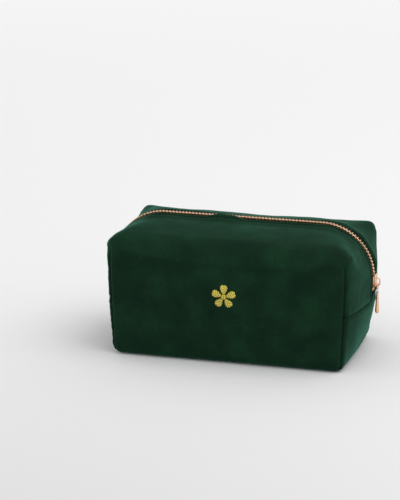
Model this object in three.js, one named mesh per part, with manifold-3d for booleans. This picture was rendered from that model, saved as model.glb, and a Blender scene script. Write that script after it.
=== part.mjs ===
// Boxed velvet makeup bag with a metal zip that runs over the top from one end seam to the other.
// Millimetres, +Z up. X runs along the bag, Y from front (-) to back (+); the base rests on Z = 0.
// The bag is laid out on a flat-sided box, and every point is then moved to where filled-out
// cloth lies: rounded seams, wide shoulders at the zip, swelling ends and a crowned top.
import * as THREE from 'three';
import { mergeVertices } from 'three/addons/utils/BufferGeometryUtils.js';
import Module from 'manifold-3d';

// Overall sizes
const LENGTH = 205;
const DEPTH = 114;
const HEIGHT = 105;
// Radius of the zip's curve over each end
const SHOULDER_R = 46;
// How far the zip runs down each end below its curve, and the seam it stops at; the crown
// lifts the cloth over the same stretch
const ZIP_DROP = 9;
const END_SEAM_Z = HEIGHT - SHOULDER_R - ZIP_DROP;
// How far the lips that open above the mouth keep off the zip's curve, and their half length
const LIP_INSET = 8.5;
const LIP_REACH = LENGTH / 2 - SHOULDER_R - LIP_INSET;

// Rounding of the cloth, radii
const SIDE_SEAM_R = 6;
const TOP_FOLD_R = 14;
const BASE_FOLD_R = 8;
const END_FOOT_R = 12;
const CORNER_R = 10;
// Share of the depth over which the shoulders are rounded like the zip
const SHOULDER_SPREAD = 0.88;
// How far the filled-out cloth stands beyond the flat-sided box
const END_SWELL = 14;
const FACE_SWELL = 4;
const CROWN = 11;
const TOP_LEAN = 3;
const TOP_SPREAD = 3;

// Layers, as depth below the outer face
const BODY_VELVET = [0, 3.0];
const TOP_VELVET = [0, 1.6];
const TAPE_LAYER = [1.9, 2.4];
const BODY_LINING = [4.4, 5.2];
const TOP_LINING = [4.8, 5.6];
const TEETH_LAYER = [-0.5, 1.4];
const STOP_LAYER = [-0.5, 1.5];
const PETAL_LAYER = [-1.0, -0.3];
const EYE_LAYER = [-1.3, -0.3];

// Half of the gap between two pieces at a seam
const VELVET_SEAM_GAP = 0.35;
const LINING_SEAM_GAP = 0.6;
// Least distance along the run from a tooth to the end of its stretch
const SEAM_MARGIN = 0.2;
// Zip, as distance from the bag's middle plane
const TOOTH_TIP_Y = -0.7;
const BEAD_INNER_Y = 1.7;
const BEAD_OUTER_Y = 2.6;
const FLANGE_INNER_Y = BEAD_OUTER_Y + 0.3;
const SLIDER_HALF_WIDTH = FLANGE_INNER_Y + 1;
const ZIP_EDGE_Y = SLIDER_HALF_WIDTH + 0.5;
const NECK_HALF_WIDTH = 0.8;
const TAPE_INNER_Y = NECK_HALF_WIDTH + 0.4;
const TAPE_OUTER_Y = 13;
// Teeth along the run, counted in steps of a tenth of a millimetre
const RUN_STEP = 0.1;
const STEPS_PER_PITCH = 30;
const STEPS_PER_TOOTH = 12;

// Slider, measured outwards from the zip's face and up the right end
const SLIDER_FOOT_Z = HEIGHT - SHOULDER_R + CROWN - 7;
const SLIDER_LENGTH = 11;
const NECK_LENGTH = 2.2;
const OUTER_PLATE = [1.1, 2.3];
const INNER_PLATE = [-4.2, -3.2];
const FLANGE_DEPTH = 1.2;
const BRIDGE_HEIGHT = 6.2;
const BRIDGE_BAR = 1.2;
const BRIDGE_LENGTH = 8.2;
const BRIDGE_WIDTH = 1.6;
// Heights of the chain's ends and of the stops
const CHAIN_FOOT_RIGHT = SLIDER_FOOT_Z + NECK_LENGTH + 0.9;
const TOP_STOP_Z = [SLIDER_FOOT_Z - 3.4, SLIDER_FOOT_Z - 1];
const BOTTOM_STOP_Z = [END_SEAM_Z + 1.5, END_SEAM_Z + 4.5];
const CHAIN_FOOT_LEFT = BOTTOM_STOP_Z[1] + 1;
// Pull
const PULL_PIVOT = 3.7;
const PULL_PIVOT_RISE = 2.6;
const PULL_BAR = 1.2;
const PULL_EYE_LENGTH = 4.5;
const PULL_EYE_HALF_WIDTH = 1.5;
const PULL_EYE_OUTER = 2.7;
const PULL_REACH = 26.3;
const PULL_NECK_R = 1.5;
const PULL_FOOT_R = 4;
const PULL_FLATNESS = 0.45;

// Embroidered flower
const FLOWER_DROP = 43;
const FLOWER_Z = HEIGHT - FLOWER_DROP;
const FLOWER_R = 8.2;
const PETAL_SWING = 2.4;
const PETALS = 5;
const FLOWER_EYE_R = 2.8;
const FLOWER_GAP = 0.4;

const HALF_L = LENGTH / 2;
const HALF_D = DEPTH / 2;
// Face of the zip on the right end
const ZIP_X = HALF_L + END_SWELL;

const wasm = await Module();
wasm.setup();

const cloth = (color, roughness) =>
  new THREE.MeshStandardMaterial({ color, roughness, metalness: 0, side: THREE.FrontSide });
const metal = (color, roughness) => new THREE.MeshStandardMaterial({ color, roughness, metalness: 1 });
const velvet = () => cloth(0x1d3a2c, 0.95);
const satin = () => cloth(0x14271d, 0.6);
const webbing = () => cloth(0x10241a, 0.9);
const roseGold = () => metal(0xd8a587, 0.3);
const thread = () => cloth(0xc9b24a, 0.55);

const bag = new THREE.Group();

/** Maps the square corner above and right of the origin onto a quarter disc. */
function squareToRound(p, q) {
  if (p <= 0 || q <= 0) return [p, q];
  const far = Math.max(p, q);
  const turn = (Math.PI / 4) * (Math.min(p, q) / far);
  const long = far * Math.cos(turn);
  const short = far * Math.sin(turn);
  return p >= q ? [long, short] : [short, long];
}

/** Rounds the edge where a = edgeA meets b = edgeB. */
function roundEdge(a, b, edgeA, edgeB, radius) {
  const [p, q] = squareToRound(a - (edgeA - radius), b - (edgeB - radius));
  return [p + edgeA - radius, q + edgeB - radius];
}

/** Moves a point of the flat-sided box to where the filled-out bag has it. */
function fillOut([px, py, pz]) {
  let x = Math.abs(px);
  let y = Math.abs(py);
  let z = pz;
  [x, y] = roundEdge(x, y, HALF_L, HALF_D, SIDE_SEAM_R);
  [y, z] = roundEdge(y, z, HALF_D, HEIGHT, TOP_FOLD_R);
  [y, z] = roundEdge(y, -z, HALF_D, 0, BASE_FOLD_R);
  [x, z] = roundEdge(x, z, HALF_L, 0, END_FOOT_R);
  z = -z;
  const v = Math.min(y / HALF_D, 1);
  const middle = 1 - v * v;
  const bend = Math.max(1 - (v / SHOULDER_SPREAD) ** 2, 0);
  [x, z] = roundEdge(x, z, HALF_L, HEIGHT, CORNER_R + (SHOULDER_R - CORNER_R) * bend);
  const up = THREE.MathUtils.clamp(z / (HEIGHT - SHOULDER_R), 0, 1);
  const lift = THREE.MathUtils.clamp((z - END_SEAM_Z) / ZIP_DROP, 0, 1);
  const high = THREE.MathUtils.clamp(z / HEIGHT, 0, 1);
  const out = Math.min(x / (HALF_L - SHOULDER_R), 1);
  const u = Math.min(x / HALF_L, 1);
  const swell = FACE_SWELL * (1 - u * u) * 4 * high * (1 - high);
  const dx = (END_SWELL * middle * Math.sin((Math.PI / 2) * up) + TOP_LEAN * v * v * high) * out;
  const dy = (swell + TOP_SPREAD * high) * v ** 3;
  const dz = CROWN * middle * lift;
  return new THREE.Vector3(Math.sign(px) * (x + dx), Math.sign(py) * (y + dy), z + dz);
}

/** Draws a coordinate inwards by depth, fading out over the zone next to its edge. */
function drawIn(t, edge, zone, depth) {
  const side = t < 0 && edge > 0 ? -1 : 1;
  const inside = side * t - (edge - zone);
  if (inside <= 0) return t;
  return side * (edge - zone + (inside * (zone - depth)) / zone);
}

/** Point at a depth below a point of the box's outer face, on the filled-out bag. */
function below([x, y, z], depth) {
  const high = z > HEIGHT / 2;
  return fillOut([
    drawIn(x, HALF_L, SIDE_SEAM_R, depth),
    drawIn(y, HALF_D, SIDE_SEAM_R, depth),
    high ? drawIn(z, HEIGHT, SIDE_SEAM_R, depth) : -drawIn(-z, 0, BASE_FOLD_R, depth),
  ]);
}

/** Leaves only the positions of a geometry and joins the vertices that share a place. */
function weld(geometry) {
  const bare = geometry.clone();
  bare.deleteAttribute('normal');
  bare.deleteAttribute('uv');
  return mergeVertices(bare, 1e-4);
}

/** Volume inside a welded geometry, negative if its faces point inwards. */
function signedVolume(geometry) {
  const { position } = geometry.attributes;
  const corner = [0, 1, 2].map(() => new THREE.Vector3());
  let volume = 0;
  for (let i = 0; i < geometry.index.count; i += 3) {
    corner.forEach((point, k) => point.fromBufferAttribute(position, geometry.index.getX(i + k)));
    volume += corner[0].dot(corner[1].cross(corner[2])) / 6;
  }
  return volume;
}

/** Turns a welded geometry's faces outwards. */
function faceOut(geometry) {
  if (signedVolume(geometry) > 0) return geometry;
  const { index } = geometry;
  for (let i = 0; i < index.count; i += 3) {
    const first = index.getX(i);
    index.setX(i, index.getX(i + 1));
    index.setX(i + 1, first);
  }
  return geometry;
}

/** Adds a named mesh to the bag. */
function add(name, geometry, material) {
  const mesh = new THREE.Mesh(geometry, material);
  mesh.name = name;
  bag.add(mesh);
}

/** Sheet of cloth over a grid of outer-face points, between the two depths of its layer. */
function addSheet(name, us, vs, layer, material, outerPoint) {
  const geometry = new THREE.BoxGeometry(1, 1, 1, us.length - 1, vs.length - 1, 1);
  const { position } = geometry.attributes;
  for (let i = 0; i < position.count; i += 1) {
    const u = us[Math.round((position.getX(i) + 0.5) * (us.length - 1))];
    const v = vs[Math.round((position.getY(i) + 0.5) * (vs.length - 1))];
    const point = below(outerPoint(u, v), position.getZ(i) > 0 ? layer[0] : layer[1]);
    position.setXYZ(i, point.x, point.y, point.z);
  }
  add(name, faceOut(weld(geometry)), material);
}

/** Station list from a half list, mirrored about zero. */
const mirrored = (half) => [...half.map((t) => -t), 0, ...half.toReversed()];

/** Stations at which a layer of cloth is divided, closer together where it is rounded. */
function stationsFor(gap, steps, shoulderSteps) {
  const corner = [gap, ...steps, TOP_FOLD_R];
  const shoulder = [...shoulderSteps, SHOULDER_R];
  const foot = [gap, BASE_FOLD_R / 2, BASE_FOLD_R, END_FOOT_R];
  const downFromTop = corner.map((t) => HEIGHT - t).toReversed();
  const middle = [(END_FOOT_R + END_SEAM_Z) / 2, END_SEAM_Z];
  const toCorner = corner.map((t) => HALF_D - t).toReversed();
  // Halfway to the corner, where the shoulder's radius changes fastest
  const shoulderTwist = (2 * TAPE_OUTER_Y + toCorner[0]) / 2;
  return {
    faceX: mirrored([...corner.map((t) => HALF_L - t), LIP_REACH, LIP_REACH / 2]),
    faceY: mirrored([...corner.map((t) => HALF_D - t), 2 * TAPE_OUTER_Y, TAPE_OUTER_Y]),
    wallZ: [...foot, ...middle, HEIGHT - SHOULDER_R, HEIGHT - SHOULDER_R / 1.6, ...downFromTop],
    lowerZ: [...foot, middle[0], END_SEAM_Z - gap],
    lipX: mirrored([LIP_REACH - gap, LIP_REACH / 2]),
    across: [ZIP_EDGE_Y, TAPE_OUTER_Y, 2 * TAPE_OUTER_Y, shoulderTwist, ...toCorner],
    run: [
      END_SEAM_Z + gap - HEIGHT,
      ...shoulder.map((t) => -t).toReversed(),
      ...corner.slice(1).map((t) => -t).toReversed(),
      0,
      ...corner.slice(1),
      ...shoulder,
      HALF_L - LIP_REACH - gap,
    ],
  };
}

const VELVET = stationsFor(
  VELVET_SEAM_GAP,
  [SIDE_SEAM_R / 2, SIDE_SEAM_R],
  [0.7 * TOP_FOLD_R + 0.3 * SHOULDER_R, 0.35 * TOP_FOLD_R + 0.65 * SHOULDER_R],
);
const LINING = stationsFor(LINING_SEAM_GAP, [SIDE_SEAM_R], [(TOP_FOLD_R + SHOULDER_R) / 2]);

/** Outer-face point at a place on the zip's run, counted from the right corner; y across it. */
function onRun(run, y) {
  if (run < 0) return [HALF_L, y, HEIGHT + run];
  if (run > LENGTH) return [-HALF_L, y, HEIGHT - (run - LENGTH)];
  return [HALF_L - run, y, HEIGHT];
}

/** The same place on the run seen from the right (1) or the left (-1) corner. */
const fromCorner = (side, run) => (side > 0 ? run : LENGTH - run);

const SIDES = [
  { side: 1, label: 'right' },
  { side: -1, label: 'left' },
];
const WALLS = [
  { wall: -1, label: 'front' },
  { wall: 1, label: 'back' },
];

/** One layer of the front, back, base and lower ends. */
function addBodyLayer(suffix, stations, layer, material) {
  const { faceX, faceY, wallZ, lowerZ } = stations;
  for (const { wall, label } of WALLS) {
    addSheet(`${label}_${suffix}`, faceX, wallZ, layer, material(), (x, z) => [x, wall * HALF_D, z]);
  }
  addSheet(`base_${suffix}`, faceX, faceY, layer, material(), (x, y) => [x, y, 0]);
  for (const { side, label } of SIDES) {
    addSheet(`${label}_end_${suffix}`, faceY, lowerZ, layer, material(), (y, z) => [side * HALF_L, y, z]);
  }
}

/** One layer beside the zip, on the four shoulders and the two lips. */
function addTopLayer(suffix, stations, across, layer, material) {
  for (const { wall, label: wallLabel } of WALLS) {
    for (const { side, label } of SIDES) {
      const name = `${label}_shoulder_${wallLabel}_${suffix}`;
      addSheet(name, stations.run, across, layer, material(),
        (run, y) => onRun(fromCorner(side, run), wall * y));
    }
    addSheet(`${wallLabel}_lip_${suffix}`, stations.lipX, across, layer, material(),
      (x, y) => [x, wall * y, HEIGHT]);
  }
}

/** Places on the zip's run, one step of its real, curved length apart. */
function evenRun(step) {
  const start = END_SEAM_Z - HEIGHT;
  const places = [];
  let travelled = 0;
  let last = below(onRun(start, 0), 0);
  for (let run = start; run < LENGTH - start; run += step / 10) {
    const here = below(onRun(run, 0), 0);
    travelled += here.distanceTo(last);
    last = here;
    if (travelled >= step) {
      travelled -= step;
      places.push(run);
    }
  }
  return places;
}

/** Closed solid between two copies of one triangulated outline. */
function solidBetween(outer, inner, caps) {
  const count = outer.length;
  const open = new Map();
  const faces = [];
  for (const [a, b, c] of caps) {
    faces.push(a, b, c, count + a, count + c, count + b);
    for (const [from, to] of [[a, b], [b, c], [c, a]]) {
      if (!open.delete(`${to},${from}`)) open.set(`${from},${to}`, [from, to]);
    }
  }
  for (const [from, to] of open.values()) {
    faces.push(to, from, count + from, to, count + from, count + to);
  }
  const geometry = new THREE.BufferGeometry().setFromPoints([...outer, ...inner]);
  geometry.setIndex(faces);
  return geometry;
}

/** Comb of square teeth on a bead: one side of the zip between two places on its run. */
function addComb(name, wall, places, from, to) {
  const outline = [];
  const caps = [];
  let end = from;
  for (let k = wall > 0 ? Math.round(STEPS_PER_PITCH / 2) : 0; k < places.length; k += STEPS_PER_PITCH) {
    const [start, stop, next] = [k, k + STEPS_PER_TOOTH, k + STEPS_PER_PITCH].map((step) => places[step]);
    if (start < from + SEAM_MARGIN || next > to - SEAM_MARGIN || next === undefined) continue;
    const n = outline.length;
    outline.push([start, BEAD_OUTER_Y], [start, BEAD_INNER_Y], [stop, BEAD_INNER_Y]);
    outline.push([start, TOOTH_TIP_Y], [stop, TOOTH_TIP_Y]);
    caps.push([n, n + 1, n + 2], [n, n + 2, n + 5], [n + 2, n + 6, n + 5]);
    caps.push([n + 1, n + 3, n + 4], [n + 1, n + 4, n + 2]);
    end = next;
  }
  outline.push([end, BEAD_OUTER_Y], [end, BEAD_INNER_Y]);
  const sheet = TEETH_LAYER.map((depth) => outline.map(([run, y]) => below(onRun(run, wall * y), depth)));
  add(name, faceOut(solidBetween(sheet[0], sheet[1], caps)), roseGold());
}

/** Height on the flat-sided box of a real height on the end, between the seam and the shoulder. */
const onBox = (z) => END_SEAM_Z + ((z - END_SEAM_Z) * ZIP_DROP) / (ZIP_DROP + CROWN);

/** Both rows of teeth, split where the lips begin; the back row sits half a pitch along. */
function addTeeth() {
  const places = evenRun(RUN_STEP);
  const lipStart = HALF_L - LIP_REACH;
  const lipEnd = HALF_L + LIP_REACH;
  const rightFoot = onBox(CHAIN_FOOT_RIGHT) - HEIGHT;
  const leftFoot = LENGTH + HEIGHT - onBox(CHAIN_FOOT_LEFT);
  for (const { wall, label } of WALLS) {
    addComb(`right_shoulder_${label}_teeth`, wall, places, rightFoot, lipStart);
    addComb(`${label}_lip_teeth`, wall, places, lipStart, lipEnd);
    addComb(`left_shoulder_${label}_teeth`, wall, places, lipEnd, leftFoot);
  }
}

/** Metal stops: one on each tape below the slider, and one across both at the left. */
function addStops() {
  for (const { wall, label } of WALLS) {
    addSheet(`${label}_top_stop`, TOP_STOP_Z.map(onBox), [TAPE_INNER_Y, BEAD_OUTER_Y], STOP_LAYER, roseGold(),
      (z, y) => [HALF_L, wall * y, z]);
  }
  addSheet('bottom_stop', BOTTOM_STOP_Z.map(onBox), [-BEAD_OUTER_Y, BEAD_OUTER_Y], STOP_LAYER, roseGold(),
    (z, y) => [-HALF_L, y, z]);
}

/** Welded geometry as a manifold solid. */
function toSolid(geometry) {
  const { position } = geometry.attributes;
  const vertProperties = new Float32Array(position.array);
  const triVerts = new Uint32Array(geometry.index.array);
  return new wasm.Manifold(new wasm.Mesh({ numProp: 3, vertProperties, triVerts }));
}

/** Manifold solid back as a geometry. */
function toGeometry(solid) {
  const mesh = solid.getMesh();
  const geometry = new THREE.BufferGeometry();
  geometry.setAttribute('position', new THREE.BufferAttribute(new Float32Array(mesh.vertProperties), 3));
  geometry.setIndex([...mesh.triVerts]);
  return geometry;
}

/** Joins geometries that overlap into one closed body. */
function joined(...parts) {
  const solids = parts.map((part) => toSolid(faceOut(weld(part))));
  return toGeometry(solids.reduce((a, b) => a.add(b)));
}

/** Box between two corners. */
function boxBetween(low, high) {
  const size = high.map((value, k) => value - low[k]);
  const middle = high.map((value, k) => (value + low[k]) / 2);
  return new THREE.BoxGeometry(...size).translate(...middle);
}

/** Plate lying against the end: an outline across (y) and up (z), between two distances out (x). */
function uprightPlate(shape, from, to) {
  const geometry = new THREE.ExtrudeGeometry(shape, { depth: to - from, bevelEnabled: false });
  const turn = new THREE.Matrix4().set(0, 0, 1, ZIP_X + from, 1, 0, 0, 0, 0, 1, 0, 0, 0, 0, 0, 1);
  return geometry.applyMatrix4(turn);
}

/** Outline of the slider's plates: shoulders at the neck end, narrower at the tail. */
function sliderOutline() {
  const foot = SLIDER_FOOT_Z;
  const head = SLIDER_FOOT_Z + SLIDER_LENGTH;
  const w = SLIDER_HALF_WIDTH;
  const shape = new THREE.Shape();
  shape.moveTo(-w * 0.6, foot);
  shape.lineTo(w * 0.6, foot);
  shape.lineTo(w, foot + 2.4);
  shape.lineTo(w, head - 0.8);
  shape.lineTo(w - 0.8, head);
  shape.lineTo(-w + 0.8, head);
  shape.lineTo(-w, head - 0.8);
  shape.lineTo(-w, foot + 2.4);
  shape.closePath();
  return shape;
}

/** Arch over the slider that holds the pull, seen from the front. */
function bridgeArch() {
  const foot = SLIDER_FOOT_Z + 0.2;
  const head = foot + BRIDGE_LENGTH;
  const root = (OUTER_PLATE[0] + OUTER_PLATE[1]) / 2;
  const shape = new THREE.Shape();
  shape.moveTo(root, foot);
  shape.lineTo(BRIDGE_HEIGHT - BRIDGE_BAR, foot);
  shape.lineTo(BRIDGE_HEIGHT, foot + BRIDGE_BAR);
  shape.lineTo(BRIDGE_HEIGHT, head - BRIDGE_BAR);
  shape.lineTo(BRIDGE_HEIGHT - BRIDGE_BAR, head);
  shape.lineTo(root, head);
  shape.closePath();
  const hole = new THREE.Path();
  const bar = BRIDGE_BAR;
  hole.moveTo(root + 0.2, foot + bar);
  hole.lineTo(BRIDGE_HEIGHT - bar, foot + bar);
  hole.lineTo(BRIDGE_HEIGHT - bar, head - bar);
  hole.lineTo(root + 0.2, head - bar);
  hole.closePath();
  shape.holes.push(hole);
  const geometry = new THREE.ExtrudeGeometry(shape, { depth: BRIDGE_WIDTH, bevelEnabled: false });
  const turn = new THREE.Matrix4().set(1, 0, 0, ZIP_X, 0, 0, -1, BRIDGE_WIDTH / 2, 0, 1, 0, 0, 0, 0, 0, 1);
  return geometry.applyMatrix4(turn);
}

/** Slider: outer and inner plate around the chain, joined by the neck, with the pull's bridge. */
function addSlider() {
  const foot = SLIDER_FOOT_Z;
  const head = foot + SLIDER_LENGTH;
  const plate = (OUTER_PLATE[0] + OUTER_PLATE[1]) / 2;
  const flanges = WALLS.map(({ wall }) => {
    const ys = [wall * FLANGE_INNER_Y, wall * (SLIDER_HALF_WIDTH - 0.05)].toSorted((a, b) => a - b);
    return boxBetween([ZIP_X - FLANGE_DEPTH, ys[0], foot + 2.8], [ZIP_X + plate, ys[1], head - 1.1]);
  });
  const inner = (INNER_PLATE[0] + INNER_PLATE[1]) / 2;
  const neck = boxBetween(
    [ZIP_X + inner, -NECK_HALF_WIDTH, foot + 0.1],
    [ZIP_X + plate, NECK_HALF_WIDTH, foot + NECK_LENGTH],
  );
  const plates = [OUTER_PLATE, INNER_PLATE].map(([from, to]) => uprightPlate(sliderOutline(), from, to));
  add('slider_body', joined(...plates, ...flanges, neck, bridgeArch()), roseGold());
}

/** Pull: a flat eye through the bridge and a ridged bar that widens to its foot. */
function addPull() {
  const pivotZ = SLIDER_FOOT_Z + PULL_PIVOT_RISE;
  const top = pivotZ + PULL_BAR / 2;
  const holeTop = pivotZ - PULL_BAR / 2;
  const holeFoot = pivotZ - PULL_EYE_LENGTH;
  const shape = new THREE.Shape();
  const w = PULL_EYE_OUTER;
  shape.moveTo(-w * 0.6, holeFoot - 1.4);
  shape.lineTo(w * 0.6, holeFoot - 1.4);
  shape.lineTo(w, holeFoot - 0.4);
  shape.lineTo(w, top - 0.6);
  shape.lineTo(w - 0.6, top);
  shape.lineTo(0.6 - w, top);
  shape.lineTo(-w, top - 0.6);
  shape.lineTo(-w, holeFoot - 0.4);
  shape.closePath();
  const hole = new THREE.Path();
  const h = PULL_EYE_HALF_WIDTH;
  hole.moveTo(-h, holeFoot);
  hole.lineTo(h, holeFoot);
  hole.lineTo(h, holeTop);
  hole.lineTo(-h, holeTop);
  hole.closePath();
  shape.holes.push(hole);
  const eye = uprightPlate(shape, PULL_PIVOT - PULL_BAR / 2, PULL_PIVOT + PULL_BAR / 2);
  const barTop = holeFoot - 0.5;
  const barFoot = pivotZ - PULL_REACH;
  const bar = new THREE.CylinderGeometry(PULL_NECK_R, PULL_FOOT_R, barTop - barFoot, 4);
  bar.rotateX(Math.PI / 2).scale(PULL_FLATNESS, 1, 1);
  bar.translate(ZIP_X + PULL_PIVOT, 0, (barTop + barFoot) / 2);
  add('pull', joined(eye, bar), roseGold());
}

/** Bends a flat outline on the front onto the filled-out front panel. */
function addPatch(name, shape, layer, material) {
  const geometry = new THREE.ExtrudeGeometry(shape, { depth: 1, bevelEnabled: false });
  const { position } = geometry.attributes;
  for (let i = 0; i < position.count; i += 1) {
    const depth = position.getZ(i) > 0.5 ? layer[0] : layer[1];
    const point = below([position.getX(i), -HALF_D, FLOWER_Z + position.getY(i)], depth);
    position.setXYZ(i, point.x, point.y, point.z);
  }
  add(name, faceOut(weld(geometry)), material);
}

/** Anticlockwise ring of points whose radius swings in and out, lobes times round. */
function lobedRing(radius, swing, lobes, steps) {
  const points = [];
  for (let k = 0; k < steps; k += 1) {
    const turn = (2 * Math.PI * k) / steps;
    const r = radius + swing * Math.cos(lobes * turn);
    points.push(new THREE.Vector2(-r * Math.sin(turn), r * Math.cos(turn)));
  }
  return points;
}

/** Embroidered five-petalled flower: the petals and the round eye. */
function addFlower() {
  const petals = new THREE.Shape(lobedRing(FLOWER_R, PETAL_SWING, PETALS, PETALS * 8));
  petals.holes.push(new THREE.Path(lobedRing(FLOWER_EYE_R + FLOWER_GAP, 0, 1, 16)));
  addPatch('flower_petals', petals, PETAL_LAYER, thread());
  addPatch('flower_eye', new THREE.Shape(lobedRing(FLOWER_EYE_R, 0, 1, 16)), EYE_LAYER, thread());
}

addBodyLayer('panel', VELVET, BODY_VELVET, velvet);
addTopLayer('panel', VELVET, VELVET.across, TOP_VELVET, velvet);
addBodyLayer('lining', LINING, BODY_LINING, satin);
addTopLayer('lining', LINING, LINING.across, TOP_LINING, satin);
addTopLayer('tape', VELVET, [TAPE_INNER_Y, TAPE_OUTER_Y], TAPE_LAYER, webbing);
addTeeth();
addStops();
addSlider();
addPull();
addFlower();

export default bag;
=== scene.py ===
"""Boxed velvet makeup bag with a rose-gold zip over its top and an embroidered flower.

Every sub-assembly is a class that holds its sizes in millimetres, builds its pieces in the frame
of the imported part, and dresses them in their finishes. The cloth is cut as a flat-sided pattern
box, and the shape of the filled bag then says where each point of the pattern lies.
"""

import logging
import math
from collections.abc import Callable, Iterator
from contextlib import contextmanager
from dataclasses import dataclass, field
from enum import Enum
from functools import partial

import bmesh
import bpy
import numpy as np
from mathutils import Matrix, Vector, noise
from mathutils.kdtree import KDTree

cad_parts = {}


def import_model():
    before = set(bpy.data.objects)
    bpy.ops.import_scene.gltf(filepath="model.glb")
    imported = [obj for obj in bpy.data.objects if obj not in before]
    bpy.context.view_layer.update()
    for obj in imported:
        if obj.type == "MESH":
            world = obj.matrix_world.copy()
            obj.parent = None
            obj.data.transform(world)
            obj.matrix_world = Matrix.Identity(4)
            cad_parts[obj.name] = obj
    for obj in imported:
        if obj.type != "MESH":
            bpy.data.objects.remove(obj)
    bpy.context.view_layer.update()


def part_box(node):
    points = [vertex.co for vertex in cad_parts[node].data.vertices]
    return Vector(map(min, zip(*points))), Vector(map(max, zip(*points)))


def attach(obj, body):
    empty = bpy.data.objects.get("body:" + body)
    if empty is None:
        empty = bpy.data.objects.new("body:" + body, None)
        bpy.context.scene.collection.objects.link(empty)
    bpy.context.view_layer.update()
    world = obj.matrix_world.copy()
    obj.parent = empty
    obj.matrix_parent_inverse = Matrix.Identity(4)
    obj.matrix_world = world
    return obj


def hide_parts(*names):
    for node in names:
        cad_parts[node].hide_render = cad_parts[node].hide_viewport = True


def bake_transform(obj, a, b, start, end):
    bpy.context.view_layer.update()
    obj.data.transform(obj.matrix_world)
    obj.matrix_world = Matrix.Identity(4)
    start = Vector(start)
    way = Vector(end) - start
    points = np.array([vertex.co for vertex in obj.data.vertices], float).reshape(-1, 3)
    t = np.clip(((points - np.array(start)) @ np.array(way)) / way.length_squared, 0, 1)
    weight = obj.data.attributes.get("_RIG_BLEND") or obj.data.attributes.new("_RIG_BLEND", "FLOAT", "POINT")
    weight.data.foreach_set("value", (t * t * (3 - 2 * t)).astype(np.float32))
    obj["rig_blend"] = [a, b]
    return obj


MM = 0.001
PATTERN = "pattern"
PAINTED_SHADE = "crease"
THREAD = "thread_run"

log = logging.getLogger("makeup_bag")

# An edge runs along an axis, and two edges are equally long, within these
PARALLEL = 0.999
SAME_LENGTH = 0.004
# An edge is cut at most this often at once
CUTS_AT_ONCE = 60
# Degrees between two faces from which their edge is bevelled
SHARP = 40
# Within this many millimetres of a plane, a point lies on it
TOUCH = 0.01
# Distance of each lip's hinge from the middle, its height, and the closed zip's crest
LIP_HINGE = (0.0557, 0.1024)
ZIP_CREST = (0.0, 0.0, 0.1165)

Piece = bpy.types.Object
Socket = bpy.types.NodeSocket
Array = np.ndarray
Point = tuple[float, float, float]
Span = tuple[float, float]
Keep = Callable[[Vector, Vector], bool]
AddNode = Callable[..., Socket]


class Wall(Enum):
    """The two long walls, by the sign of Y on their side of the zip."""

    FRONT = -1
    BACK = 1

    @property
    def label(self) -> str:
        """Word used in piece and node names."""
        return self.name.lower()

    @property
    def lip(self) -> str:
        """Body that this wall's side of the mouth turns with."""
        return f"{self.label}_lip"

    def shoulders(self, layer: str) -> list[str]:
        """Nodes of one layer on this wall's left and right shoulders."""
        return [f"{side}_shoulder_{self.label}_{layer}" for side in ("left", "right")]


class Axis(Enum):
    """Coordinate axes by number."""

    X = 0
    Y = 1
    Z = 2


# ---------------------------------------------------------------------------------------------
# Mesh tools


def deselect_all() -> None:
    """Leaves nothing selected, since the loaded nodes start out selected."""
    bpy.ops.object.select_all(action="DESELECT")


def pick(*pieces: Piece) -> None:
    """Selects only these pieces, the first of them active."""
    deselect_all()
    for piece in pieces:
        piece.select_set(True)
    bpy.context.view_layer.objects.active = pieces[0]


@contextmanager
def editing(piece: Piece, mode: str = "FACE") -> Iterator[bmesh.types.BMesh]:
    """Opens a piece in edit mode with nothing selected.

    Args:
        piece: The mesh object to work on.
        mode: What is selected: VERT, EDGE or FACE.

    Returns:
        The piece's edit mesh, for selecting by place or normal.
    """
    pick(piece)
    bpy.ops.object.mode_set(mode="EDIT")
    bpy.ops.mesh.select_mode(type=mode)
    bpy.ops.mesh.select_all(action="DESELECT")
    mesh = bmesh.from_edit_mesh(piece.data)
    yield mesh
    bpy.ops.object.mode_set(mode="OBJECT")


def show_selection(piece: Piece, mesh: bmesh.types.BMesh) -> None:
    """Passes a selection made in code on to the operators."""
    mesh.select_flush_mode()
    bmesh.update_edit_mesh(piece.data, loop_triangles=False, destructive=False)


def start(name: str, add: Callable[..., object], **settings: object) -> Piece:
    """Adds a primitive, with nothing else selected and its place in its mesh.

    Args:
        name: Name of the new piece.
        add: Operator that adds the primitive.
        settings: The operator's settings.

    Returns:
        The new piece.
    """
    deselect_all()
    add(**settings)
    piece = bpy.context.object
    piece.name = name
    settle(piece)
    return piece


def start_box(name: str, low: Point, high: Point) -> Piece:
    """Adds a box between two corners, with its place in its mesh.

    Args:
        name: Name of the new piece.
        low: Lowest corner.
        high: Highest corner.

    Returns:
        The new piece.
    """
    piece = start(name, bpy.ops.mesh.primitive_cube_add, size=1.0, location=(0, 0, 0))
    piece.location = [(a + b) / 2 for a, b in zip(low, high)]
    piece.scale = [b - a for a, b in zip(low, high)]
    settle(piece)
    return piece


def settle(piece: Piece) -> None:
    """Puts a piece's place, turn and scale into its mesh."""
    pick(piece)
    bpy.ops.object.transform_apply(location=True, rotation=True, scale=True)


def bisect(piece: Piece, axis: Axis, places: list[float], drop: int = 0) -> None:
    """Cuts a piece across one axis at several places.

    Args:
        piece: The piece to cut.
        axis: Axis that the cuts are square to.
        places: Where on that axis to cut.
        drop: 1 removes what lies beyond each cut, -1 what lies before it, 0 keeps both.
    """
    normal = [float(axis.value == k) for k in range(3)]
    for place in places:
        with editing(piece):
            bpy.ops.mesh.select_all(action="SELECT")
            bpy.ops.mesh.bisect(
                plane_co=[place * n for n in normal],
                plane_no=normal,
                use_fill=False,
                clear_outer=drop > 0,
                clear_inner=drop < 0,
            )


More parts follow.
